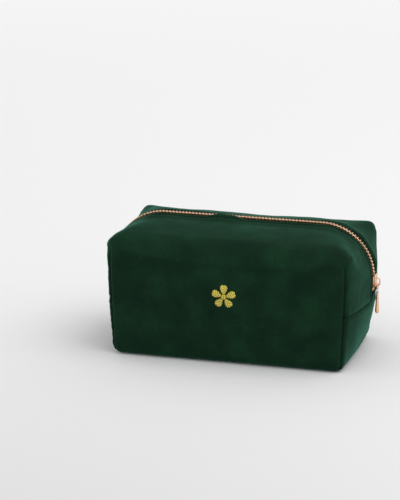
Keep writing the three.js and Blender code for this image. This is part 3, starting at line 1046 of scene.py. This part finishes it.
@dataclass(frozen=True)
class PaperSweep(Finish):
    """Matt pale backdrop paper with a barely visible tooth."""

    name: str = "matt_backdrop_paper"
    slot: str = "stage"
    constants: dict[str, object] = field(
        default_factory=lambda: {"Roughness": 0.95, "Specular IOR Level": 0.1}
    )

    def surface(self, add: AddNode) -> dict[str, Socket]:
        """Painted light and shade: pale grey just in front of the bag, painted whiter further out."""
        place = add("TexCoord", output="Object")
        ahead = add("Mapping", {"Vector": place, "Location": (0.0, 0.7, 0.0)})
        away = add("VectorMath", {0: ahead}, "Value", operation="LENGTH")
        tooth = add("TexNoise", {"Vector": place, "Scale": 60.0, "Detail": 4.0}, "Fac")
        mixed = add("Math", {0: tooth, 1: 0.06, 2: away}, operation="MULTIPLY_ADD")
        far = add("MapRange", {0: mixed, 1: 0.1, 2: 2.8})
        # Painted shade in front of the bag, fading to painted light far off
        painted_floor_light = ((0.0, "cecece"), (0.3, "e8e8e8"), (1.0, "fefefe"))
        return {"Base Color": add("ValToRGB", {0: far}, stops=painted_floor_light)}


# ---------------------------------------------------------------------------------------------
# Sub-assemblies


def follow_lip(piece: Piece, wall: Wall, share: Array) -> None:
    """Lets a piece stay with the bag at its ends and follow its lip at the mouth.

    Args:
        piece: A finished piece that crosses from the wall to the mouth.
        wall: The wall whose lip it follows.
        share: How far each vertex follows the lip, 0 to 1.
    """
    hinge = Vector((0.0, wall.value * LIP_HINGE[0], LIP_HINGE[1]))
    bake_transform(piece, "bag", wall.lip, start=hinge, end=ZIP_CREST)
    mark(piece, "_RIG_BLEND", share)


@dataclass
class ClothCover:
    """One layer of cloth over the whole bag: front, back and base pieces."""

    shape: BagShape
    finish: Finish
    kind: str
    depth: float = 0.0
    thickness: float = 1.6
    coarse: float = 1.7
    fine: float = 0.75
    zone: float = 7.0
    seam_gap: float = 0.15
    base_strip: float = 12.0
    tip_zone: float = 13.0
    tip_passes: int = 24
    # How deep a seam must sink for full painted shade, how that shade rises, and its strength
    crease_depth: float = 1.5
    crease_power: float = 1.4
    crease_shade: float = 0.85
    relief: ClothRelief | None = None
    slump: ClothSlump | None = None
    slump_cell: float = 7.0
    wrinkle: float = 0.0
    wrinkle_grains: Span = (13.0, 6.0)
    wrinkle_mean: float = 0.6

    def wall_piece(self, wall: Wall, rough: bool = False) -> Piece:
        """Cuts the wall with its half of the top and upper ends, and a strip of the base.

        Args:
            wall: Which wall.
            rough: Whether it is the coarse copy that only the simulation uses.

        Returns:
            The flat-sided piece.
        """
        s = self.shape
        seam = s.end_seam + self.seam_gap
        zip_edge = float(s.zip_edge(wall.value))
        near, far = sorted([wall.value * s.half_d, wall.value * zip_edge])
        name = f"{self.kind}_{wall.label}"
        piece = start_box(name, (-s.half_l, near, 0.0), (s.half_l, far, s.height))
        strip = wall.value * (s.half_d - self.base_strip)
        bisect(piece, Axis.Z, [seam])

        def keep(centre: Vector, normal: Vector) -> bool:
            if normal.y * wall.value < -0.5:
                return False
            return abs(normal.x) < 0.5 or centre.z > seam

        keep_faces(piece, keep)
        zone = self.zone
        bisect(piece, Axis.Z, [seam + zone, seam - zone])
        inner = wall.value * (zip_edge + zone)
        outer = wall.value * (s.half_d - zone)
        bisect(piece, Axis.Y, [strip, inner, outer])
        bisect(piece, Axis.X, [s.half_l - zone, zone - s.half_l])

        def keep_strip(centre: Vector, normal: Vector) -> bool:
            return normal.z > -0.5 or abs(centre.y) > abs(strip)

        keep_faces(piece, keep_strip)
        steps = (self.slump_cell, self.slump_cell) if rough else (self.coarse, self.fine)
        self.divide_all(piece, *steps)
        return piece

    def base_piece(self) -> Piece:
        """Cuts the base between the wall pieces' strips, with both ends up to their seam."""
        s = self.shape
        seam = s.end_seam - self.seam_gap
        low = (-s.half_l, -s.half_d, 0.0)
        piece = start_box(f"{self.kind}_base", low, (s.half_l, s.half_d, seam))
        strip = s.half_d - self.base_strip
        zone = self.zone
        bisect(piece, Axis.Y, [-strip, strip, zone - s.half_d, s.half_d - zone])
        bisect(piece, Axis.Z, [seam - zone])
        bisect(piece, Axis.X, [s.half_l - zone, zone - s.half_l])

        def keep(centre: Vector, normal: Vector) -> bool:
            if abs(normal.x) > 0.5:
                return True
            return normal.z < -0.5 and abs(centre.y) < strip

        keep_faces(piece, keep)
        self.divide_all(piece, self.coarse, self.fine)
        return piece

    def divide_all(self, piece: Piece, coarse: float, fine: float) -> None:
        """Divides a cut piece in one step beside its seams and in another elsewhere."""
        for axis in Axis:
            divide(piece, axis, coarse, fine, self.zone)

    def lay(self, piece: Piece, rough: Piece | None = None) -> None:
        """Moves a flat-sided piece onto the filled bag and gives it its thickness.

        Args:
            piece: The flat-sided piece.
            rough: Its coarse copy, where the cloth is to be simulated.
        """
        pattern = places_of(piece)
        out = self.shape.outward(pattern)
        points = self.shape.below(pattern, self.depth)
        crease = np.zeros(len(pattern))
        if self.relief:
            offset, sunk = self.relief.offsets(pattern)
            points = points + out * offset[:, None] + self.relief.shifts(pattern)
            # Painted shade: the deeper the seams sink a point, the darker its velvet is painted
            crease = np.clip(-sunk / self.crease_depth, 0, 1) ** self.crease_power * self.crease_shade
        if self.slump and rough:
            points = points + self.slump.moves(rough, pattern)
        if self.wrinkle:
            coarse, fine = self.wrinkle_grains
            ripple = cloudy(pattern, coarse, 8.8) + 0.5 * cloudy(pattern, fine, 5.1)
            points = points - out * (self.wrinkle * (self.wrinkle_mean + ripple))[:, None]
        mark(piece, PATTERN, pattern * MM)
        mark(piece, PAINTED_SHADE, crease)
        put(piece, points * MM)
        self.soften_corners(piece, pattern)
        apply_modifier(piece, "SOLIDIFY", thickness=self.thickness * MM, offset=-1.0)
        smooth(piece)

    def soften_corners(self, piece: Piece, pattern: Array) -> None:
        """Rounds off the tips of the top corners.

        Args:
            piece: A laid piece, before it has its thickness.
            pattern: Its pattern points.
        """
        s = self.shape
        tip = np.array([s.half_l, s.half_d, s.height])
        reach = np.linalg.norm(np.abs(pattern) - tip, axis=1)
        if reach.min() > self.tip_zone:
            return
        with editing(piece, "VERT") as mesh:
            for vertex, distance in zip(mesh.verts, reach):
                vertex.select = distance < self.tip_zone and not vertex.is_boundary
            show_selection(piece, mesh)
            bpy.ops.mesh.vertices_smooth(factor=0.5, repeat=self.tip_passes)

    def build(self, suffix: str) -> list[Piece]:
        """Builds, lays and dresses the three pieces of the layer.

        Args:
            suffix: Ending of the CAD nodes that the layer stands for.

        Returns:
            The front, back and base pieces.
        """
        made = []
        for wall in Wall:
            piece = self.wall_piece(wall)
            simulated = self.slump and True
            self.lay(piece, self.wall_piece(wall, rough=True) if simulated else None)
            self.finish.dress(piece)
            follow_lip(piece, wall, self.shape.lip_share(marks_of(piece, PATTERN) / MM))
            nodes = (f"{wall.label}_{suffix}", f"{wall.label}_lip_{suffix}")
            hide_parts(*nodes, *wall.shoulders(suffix))
            made.append(piece)
        base = self.base_piece()
        self.lay(base)
        self.finish.dress(base)
        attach(base, "bag")
        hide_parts(f"base_{suffix}", f"right_end_{suffix}", f"left_end_{suffix}")
        return [*made, base]


@dataclass
class ZipChain:
    """Tapes, teeth and stops of the zip."""

    shape: BagShape
    tape_finish: Finish
    metal: Finish
    tape_inner: float = 1.2
    tape_outer: float = 13.0
    tape_depth: Span = (1.9, 2.4)
    pitch: float = 3.0
    tooth_width: float = 1.35
    tooth_reach: Span = (-0.75, 2.7)
    tooth_depth: Span = (-0.95, 1.3)
    tooth_waist: Span = (1.3, 0.72)
    tooth_head_share: float = 0.8
    tooth_bevel: float = 0.24
    cord_width: float = 1.2
    cord_rise: float = 0.25
    tape_step: float = 1.8
    stop_press: float = 0.25
    stop_bevel: float = 0.3
    foot_right: float = 66.1
    foot_left: float = 55.5

    def tape(self, wall: Wall) -> Piece:
        """Woven tape under one row of teeth, with a soft cord along its inner edge."""
        s = self.shape
        start, stop = s.end_seam - s.height, s.length + s.height - s.end_seam
        low = (start, self.tape_inner, self.tape_depth[0])
        piece = start_box(f"zip_tape_{wall.label}", low, (stop, self.tape_outer, self.tape_depth[1]))
        bisect(piece, Axis.Y, [self.tape_inner + self.cord_width, s.front_zip_edge])
        divide(piece, Axis.X, self.tape_step, self.tape_step, 0.0)
        flat = places_of(piece)
        pattern = s.on_run(flat[:, 0], wall.value * flat[:, 1])
        depth = flat[:, 2] - self.cord_rise * (flat[:, 1] < self.tape_inner + TOUCH)
        put(piece, s.below(pattern, depth) * MM)
        mark(piece, PATTERN, flat * MM)
        face_out(piece)
        smooth(piece)
        self.tape_finish.dress(piece)
        follow_lip(piece, wall, s.lip_share(pattern))
        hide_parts(f"{wall.label}_lip_tape", *wall.shoulders("tape"))
        return piece

    def tooth(self) -> Piece:
        """One cast tooth: a foot clamped on the tape, a waist and a rounded head."""
        half = self.tooth_width / 2
        low = (-half, self.tooth_reach[0], -self.tooth_depth[1])
        piece = start_box("tooth_model", low, (half, self.tooth_reach[1], -self.tooth_depth[0]))
        place, share = self.tooth_waist
        bisect(piece, Axis.Y, [place])
        points = places_of(piece)
        points[np.abs(points[:, 1] - place) < TOUCH, 0] *= share
        points[points[:, 1] < 0, 2] *= self.tooth_head_share
        put(piece, points)
        with editing(piece, "EDGE") as mesh:
            for edge in mesh.edges:
                edge.select = edge.calc_face_angle(0.0) > math.radians(SHARP)
            show_selection(piece, mesh)
            bpy.ops.mesh.bevel(offset=self.tooth_bevel, offset_type="OFFSET", segments=1, affect="EDGES")
        return piece

    def teeth(self, wall: Wall, model: Piece) -> Piece:
        """One row of teeth on its tape, each copy square to the curve of the zip.

        Args:
            wall: The side the row belongs to.
            model: The tooth that is copied.

        Returns:
            The joined row.
        """
        s = self.shape
        start = s.run_at_height(self.foot_right, right=True)
        stop = s.run_at_height(self.foot_left, right=False)
        shift = 0.5 * self.pitch if wall is Wall.BACK else 0.0
        places = s.even_run(start, stop, self.pitch, shift)
        here, ahead, behind = (s.on_run(places + step, np.zeros_like(places)) for step in (0.0, 0.5, -0.5))
        tangents = s.fill_out(ahead) - s.fill_out(behind)
        copies = []
        for pattern, spot, tangent in zip(here, s.fill_out(here), tangents):
            along = Vector(tangent).normalized()
            across = Vector((0.0, float(wall.value), 0.0))
            out = across.cross(along).normalized()
            if out.dot(Vector((spot[0], 0.0, spot[2] - s.height / 2))) < 0:
                out = -out
            turn = Matrix((along, across, out)).transposed().to_4x4()
            twin = copy_of(model)
            twin.data.transform(Matrix.Scale(MM, 4) @ Matrix.Translation(Vector(spot)) @ turn)
            mark(twin, PATTERN, np.tile(pattern * MM, (len(twin.data.vertices), 1)))
            copies.append(twin)
        row = join(f"zip_teeth_{wall.label}", copies)
        face_out(row)
        smooth(row, 30)
        self.metal.dress(row)
        follow_lip(row, wall, s.lip_share(marks_of(row, PATTERN) / MM))
        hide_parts(f"{wall.label}_lip_teeth", *wall.shoulders("teeth"))
        return row

    def stop(self, name: str, node: str) -> Piece:
        """A crimped metal stop in its node's place, rounded and pressed in along the middle."""
        low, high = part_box(node)
        piece = start_box(name, tuple(v / MM for v in low), tuple(v / MM for v in high))
        middle = (low[2] + high[2]) / 2 / MM
        bisect(piece, Axis.Z, [middle])
        points = places_of(piece)
        far = np.abs(points[:, 0]) > max(abs(low[0]), abs(high[0])) / MM - TOUCH
        press = far & (np.abs(points[:, 2] - middle) < TOUCH)
        points[press, 0] -= np.sign(points[press, 0]) * self.stop_press
        put(piece, points * MM)
        apply_modifier(piece, "BEVEL", width=self.stop_bevel * MM, segments=3, limit_method="ANGLE")
        smooth(piece, 40)
        self.metal.dress(piece)
        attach(piece, "bag")
        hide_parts(node)
        return piece

    def build(self) -> list[Piece]:
        """Builds both tapes, both rows of teeth and the three stops."""
        made = [self.tape(wall) for wall in Wall]
        model = self.tooth()
        made += [self.teeth(wall, model) for wall in Wall]
        remove(model)
        stops = ("front_top_stop", "back_top_stop", "bottom_stop")
        return made + [self.stop(f"zip_{node}", node) for node in stops]


@dataclass
class Slider:
    """Slider with its bridge, and the ridged pull that hangs from it."""

    shape: BagShape
    metal: Finish
    foot: float = 63.0
    length: float = 11.0
    half_width: float = 3.9
    outer_plate: Span = (1.1, 2.3)
    inner_plate: Span = (-4.2, -3.2)
    plate_tail: Span = (2.4, 0.6)
    plate_head: Span = (0.8, 0.8)
    plate_bevel: float = 0.38
    flange: tuple[Point, Point] = ((-1.2, 2.9, 2.8), (1.7, 3.85, 9.9))
    neck: tuple[Point, Point] = ((-3.7, -0.8, 0.1), (1.7, 0.8, 2.2))
    flange_bevel: float = 0.25
    neck_bevel: float = 0.2
    bridge_foot: float = 0.2
    bridge_height: float = 6.2
    bridge_length: float = 8.2
    bridge_bar: float = 0.6
    bridge_width: float = 1.35
    bridge_sunk: float = 0.4
    bridge_power: float = 0.62
    pivot_out: float = 3.7
    pivot_rise: float = 2.6
    eye_half_width: float = 2.7
    eye_bar: float = 0.6
    eye_power: float = 0.7
    eye_foot: float = 59.9
    pull_overlap: float = 0.8
    pull_foot: float = 39.3
    pull_neck_r: float = 1.15
    pull_foot_r: float = 3.5
    pull_power: float = 1.15
    pull_taper: Span = (0.93, 6.0)
    pull_thickness: Span = (0.55, 0.4)
    pull_step: float = 1.4
    pull_bevel: float = 0.28

    def plate(self, name: str, out: Span) -> Piece:
        """A plate with square shoulders at the neck end and a narrower tail."""
        x, head = self.shape.zip_x, self.foot + self.length
        (tail_length, tail_share), (head_length, head_share) = self.plate_tail, self.plate_head
        low = (x + out[0], -self.half_width, self.foot)
        piece = start_box(name, low, (x + out[1], self.half_width, head))
        bisect(piece, Axis.Z, [self.foot + tail_length, head - head_length])
        bisect(piece, Axis.Y, [0.0])
        points = places_of(piece)
        points[points[:, 2] < self.foot + TOUCH, 1] *= tail_share
        points[points[:, 2] > head - TOUCH, 1] *= head_share
        put(piece, points)
        apply_modifier(piece, "BEVEL", width=self.plate_bevel, segments=3, limit_method="ANGLE")
        return piece

    def ring(self, across: Axis, half: Span, bar: float, power: float, steps: tuple[int, int]) -> Piece:
        """A ring of round bar about the origin, squarer than a circle.

        Args:
            across: X or Y, the axis that runs through the ring.
            half: Half sizes of the bar's middle line across and up.
            bar: Radius of the bar.
            power: 1 for an ellipse, less for squarer corners.
            steps: Faces along the ring and round its bar.

        Returns:
            The ring.
        """
        turn = (math.pi / 2, 0, 0) if across is Axis.Y else (0, math.pi / 2, 0)
        piece = start(
            "ring_model", bpy.ops.mesh.primitive_torus_add, location=(0, 0, 0), rotation=turn,
            major_segments=steps[0], minor_segments=steps[1], major_radius=4 * bar, minor_radius=bar,
        )
        plane = [0, 2] if across is Axis.Y else [1, 2]
        points = places_of(piece)
        radius = np.linalg.norm(points[:, plane], axis=1, keepdims=True)
        unit = points[:, plane] / radius
        points[:, plane] = np.sign(unit) * np.abs(unit) ** power * half + unit * (radius - 4 * bar)
        put(piece, points)
        return piece

    def bridge(self) -> Piece:
        """Round-cornered arch over the slider, its legs sunk in the outer plate."""
        bar = self.bridge_bar
        root = self.shape.zip_x + self.outer_plate[1] - self.bridge_sunk
        rise = self.shape.zip_x + self.bridge_height - bar - root
        piece = self.ring(Axis.Y, (rise, self.bridge_length / 2 - bar), bar, self.bridge_power, (40, 12))
        middle = self.foot + self.bridge_foot + self.bridge_length / 2
        put(piece, places_of(piece) * np.array([1, self.bridge_width, 1]) + np.array([root, 0, middle]))
        bisect(piece, Axis.X, [root - 0.2], drop=-1)
        return piece

    def body(self) -> Piece:
        """The slider: two plates, side flanges, neck and bridge."""
        parts = [self.plate("slider_outer", self.outer_plate), self.plate("slider_inner", self.inner_plate)]
        foot = Vector((self.shape.zip_x, 0.0, self.foot))
        (near, inner, tail), (far, outer, head) = self.flange
        other = ((near, -outer, tail), (far, -inner, head))
        blocks = ((other, self.flange_bevel), (self.flange, self.flange_bevel), (self.neck, self.neck_bevel))
        for (low, high), bevel in blocks:
            block = start_box("slider_block", tuple(foot + Vector(low)), tuple(foot + Vector(high)))
            apply_modifier(block, "BEVEL", width=bevel, segments=2, limit_method="ANGLE")
            parts.append(block)
        piece = join("slider", [*parts, self.bridge()])
        put(piece, places_of(piece) * MM)
        smooth(piece, 35)
        self.metal.dress(piece)
        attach(piece, "slider")
        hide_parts("slider_body")
        return piece

    def eye(self) -> Piece:
        """Long ring at the top of the pull that the bridge runs through."""
        pivot = self.foot + self.pivot_rise
        middle = (pivot + self.eye_foot + self.eye_bar) / 2
        half = (self.eye_half_width - self.eye_bar, pivot - middle)
        piece = self.ring(Axis.X, half, self.eye_bar, self.eye_power, (36, 10))
        put(piece, places_of(piece) + np.array([self.shape.zip_x + self.pivot_out, 0, middle]))
        return piece

    def bar(self) -> Piece:
        """Four-sided bar with a ridge down its face, thin at the neck and full at the foot."""
        top = self.eye_foot + self.pull_overlap
        long, centre = top - self.pull_foot, self.shape.zip_x + self.pivot_out
        piece = start(
            "bar_model", bpy.ops.mesh.primitive_cylinder_add, vertices=4, radius=1.0, depth=long,
            location=(centre, 0, self.pull_foot + long / 2),
        )
        divide(piece, Axis.Z, self.pull_step, self.pull_step, 0.0)
        points = places_of(piece)
        down = (top - points[:, 2]) / long
        radius = self.pull_neck_r + (self.pull_foot_r - self.pull_neck_r) * down**self.pull_power
        radius *= 1 - self.pull_taper[1] * np.maximum(down - self.pull_taper[0], 0.0)
        thickness = self.pull_thickness[0] + radius * self.pull_thickness[1]
        points[:, 0] = centre + (points[:, 0] - centre) * thickness
        points[:, 1] *= radius
        put(piece, points)
        apply_modifier(piece, "BEVEL", width=self.pull_bevel, segments=3, limit_method="ANGLE")
        return piece

    def pull(self) -> Piece:
        """The pull: eye and bar in one casting."""
        piece = join("zip_pull", [self.bar(), self.eye()])
        put(piece, places_of(piece) * MM)
        smooth(piece, 35)
        self.metal.dress(piece)
        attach(piece, "pull")
        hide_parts("pull")
        return piece

    def build(self) -> list[Piece]:
        """Builds the slider and its pull."""
        return [self.body(), self.pull()]


@dataclass
class Flower:
    """Embroidered five-petalled flower on the front."""

    shape: BagShape
    relief: ClothRelief
    thread: Finish
    height: float = 62.0
    petals: int = 5
    petal_reach: Span = (1.9, 10.7)
    petal_half_width: float = 4.0
    petal_profile: Point = (0.35, 0.85, 0.2)
    petal_rise: float = 1.25
    petal_flatness: float = 0.8
    notch: float = 0.55
    notch_width: float = 0.3
    stitch_slant: Span = (4.4, 2.6)
    eye_radius: float = 2.3
    eye_rise: float = 1.5
    knot_rise: float = 0.1
    knot_grain: float = 0.32

    def onto_front(self, points: Array) -> Array:
        """Lays points given across, up and out from the flower's middle onto the front."""
        pattern = np.stack(
            [points[:, 0], np.full(len(points), -self.shape.half_d), self.height + points[:, 1]], axis=1
        )
        out = self.shape.outward(pattern)
        offset, _ = self.relief.offsets(pattern)
        return self.shape.fill_out(pattern) + out * (offset + points[:, 2])[:, None]

    def ball(self, name: str, rings: int) -> Piece:
        """A ball of radius 1 to shape a stitched piece from."""
        add = bpy.ops.mesh.primitive_uv_sphere_add
        return start(name, add, segments=28, ring_count=rings, radius=1.0, location=(0, 0, 0))

    def petal(self) -> Piece:
        """One domed petal, narrow at the eye and notched a little at its tip."""
        near, far = self.petal_reach
        piece = self.ball("petal_model", 14)
        points = places_of(piece)
        along = (points[:, 1] + 1) / 2
        root, opening, rounding = self.petal_profile
        width = self.petal_half_width * (root + opening * along - rounding * along**2)
        notch = self.notch * bump_at(points[:, 0], 0.0, self.notch_width) * np.clip(points[:, 1], 0, 1) ** 3
        # Stitches slant from the petal's middle line to its rim, as leaf veins do
        ahead, aside = self.stitch_slant
        slant = points[:, 1] * ahead - np.abs(points[:, 0]) * aside
        mark(piece, THREAD, np.stack([slant, points[:, 0] * 3.5, points[:, 2]], axis=1) * MM)
        points[:, 0] *= width
        points[:, 1] = near + (far - near) * along - notch
        points[:, 2] = np.sign(points[:, 2]) * np.abs(points[:, 2]) ** self.petal_flatness * self.petal_rise
        put(piece, points)
        return piece

    def build(self) -> list[Piece]:
        """Builds the ring of petals and the eye."""
        model = self.petal()
        copies = []
        for k in range(self.petals):
            twin = copy_of(model)
            twin.data.transform(Matrix.Rotation(2 * math.pi * k / self.petals, 4, "Z"))
            put(twin, self.onto_front(places_of(twin)) * MM)
            copies.append(twin)
        remove(model)
        ring = join("flower_petal_ring", copies)
        eye = self.ball("flower_knot", 12)
        points = places_of(eye)
        knots = 1 + self.knot_rise * cloudy(points, self.knot_grain, 3.0)
        mark(eye, THREAD, points * 3 * MM)
        points = points * np.array([self.eye_radius, self.eye_radius, self.eye_rise]) * knots[:, None]
        put(eye, self.onto_front(points) * MM)
        for piece, node in ((ring, "flower_petals"), (eye, "flower_eye")):
            face_out(piece)
            smooth(piece, 80)
            self.thread.dress(piece)
            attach(piece, "bag")
            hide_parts(node)
        return [ring, eye]


@dataclass
class Studio:
    """Pale floor, soft light and the camera."""

    azimuth: float = 15.97
    elevation: float = 15.44
    distance: float = 1.892
    lens: float = 155.1
    target: Point = (-0.0389, 0.0, 0.0835)
    floor_half: float = 9.0
    sky: float = 0.95
    key_angles: Span = (75.0, 62.0)
    key_distance: float = 1.6
    key_target: Point = (0.0, 0.0, 0.05)
    key_size: float = 1.2
    key_power: float = 9.0

    def aim(
        self, name: str, data: bpy.types.ID, target: Point, azimuth: float, elevation: float, distance: float
    ) -> Piece:
        """Adds a camera or a light that looks at a point.

        Args:
            name: Name of the camera or light.
            data: Its settings.
            target: The point it looks at.
            azimuth: Degrees round the bag, 0 in front and 90 at its right.
            elevation: Degrees above the floor.
            distance: Distance from the point in metres.

        Returns:
            The new camera or light.
        """
        a, e = math.radians(azimuth), math.radians(elevation)
        back = Vector((math.sin(a) * math.cos(e), -math.cos(a) * math.cos(e), math.sin(e)))
        thing = bpy.data.objects.new(name, data)
        bpy.context.collection.objects.link(thing)
        thing.rotation_mode = "QUATERNION"
        thing.location = Vector(target) + back * distance
        thing.rotation_quaternion = (-back).to_track_quat("-Z", "Y")
        return thing

    def camera(self) -> None:
        """Adds the camera at its viewing angle."""
        data = bpy.data.cameras.new("camera")
        data.lens = self.lens
        data.clip_start, data.clip_end = 0.05, 60.0
        camera = self.aim("camera", data, self.target, self.azimuth, self.elevation, self.distance)
        bpy.context.scene.camera = camera

    def key_light(self) -> None:
        """Adds the large soft box above the bag's right end."""
        data = bpy.data.lights.new("key_light", "AREA")
        data.size, data.energy = self.key_size, self.key_power
        self.aim("key_light", data, self.key_target, *self.key_angles, self.key_distance)

    def build(self) -> None:
        """Builds the floor, the sky, the lights and the camera."""
        scene = bpy.context.scene
        scene.view_settings.view_transform = "Standard"
        size = 2 * self.floor_half
        floor = start("floor", bpy.ops.mesh.primitive_plane_add, size=size, location=(0, 0, 0))
        PaperSweep().dress(floor)
        world = bpy.data.worlds.new("studio")
        scene.world = world
        world.use_nodes = True
        world.node_tree.nodes.clear()
        colour = to_linear("f8f8f8")
        sky = add_node(world.node_tree, "Background", {"Color": colour, "Strength": self.sky})
        add_node(world.node_tree, "OutputWorld", {"Surface": sky})
        self.key_light()
        self.camera()


def main() -> None:
    """Builds the bag in order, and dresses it."""
    logging.basicConfig(level=logging.INFO, format="%(name)s: %(message)s")
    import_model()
    Studio().build()
    shape = BagShape()
    relief = ClothRelief(shape)
    metal = RoseGold()
    assemblies = [
        ClothCover(shape, CrushedVelvet(), "velvet", relief=relief, slump=ClothSlump(shape)),
        ClothCover(
            shape, LiningSatin(), "lining", depth=5.0, thickness=0.6, coarse=3.0, fine=2.0, wrinkle=0.35
        ),
    ]
    made = assemblies[0].build("panel") + assemblies[1].build("lining")
    made += ZipChain(shape, ZipTape(), metal).build()
    made += Slider(shape, metal).build()
    made += Flower(shape, relief, GoldThread()).build()
    for piece in made:
        piece.data.calc_loop_triangles()
        log.info("%s: %d triangles", piece.name, len(piece.data.loop_triangles))


if __name__ == "__main__":
    main()
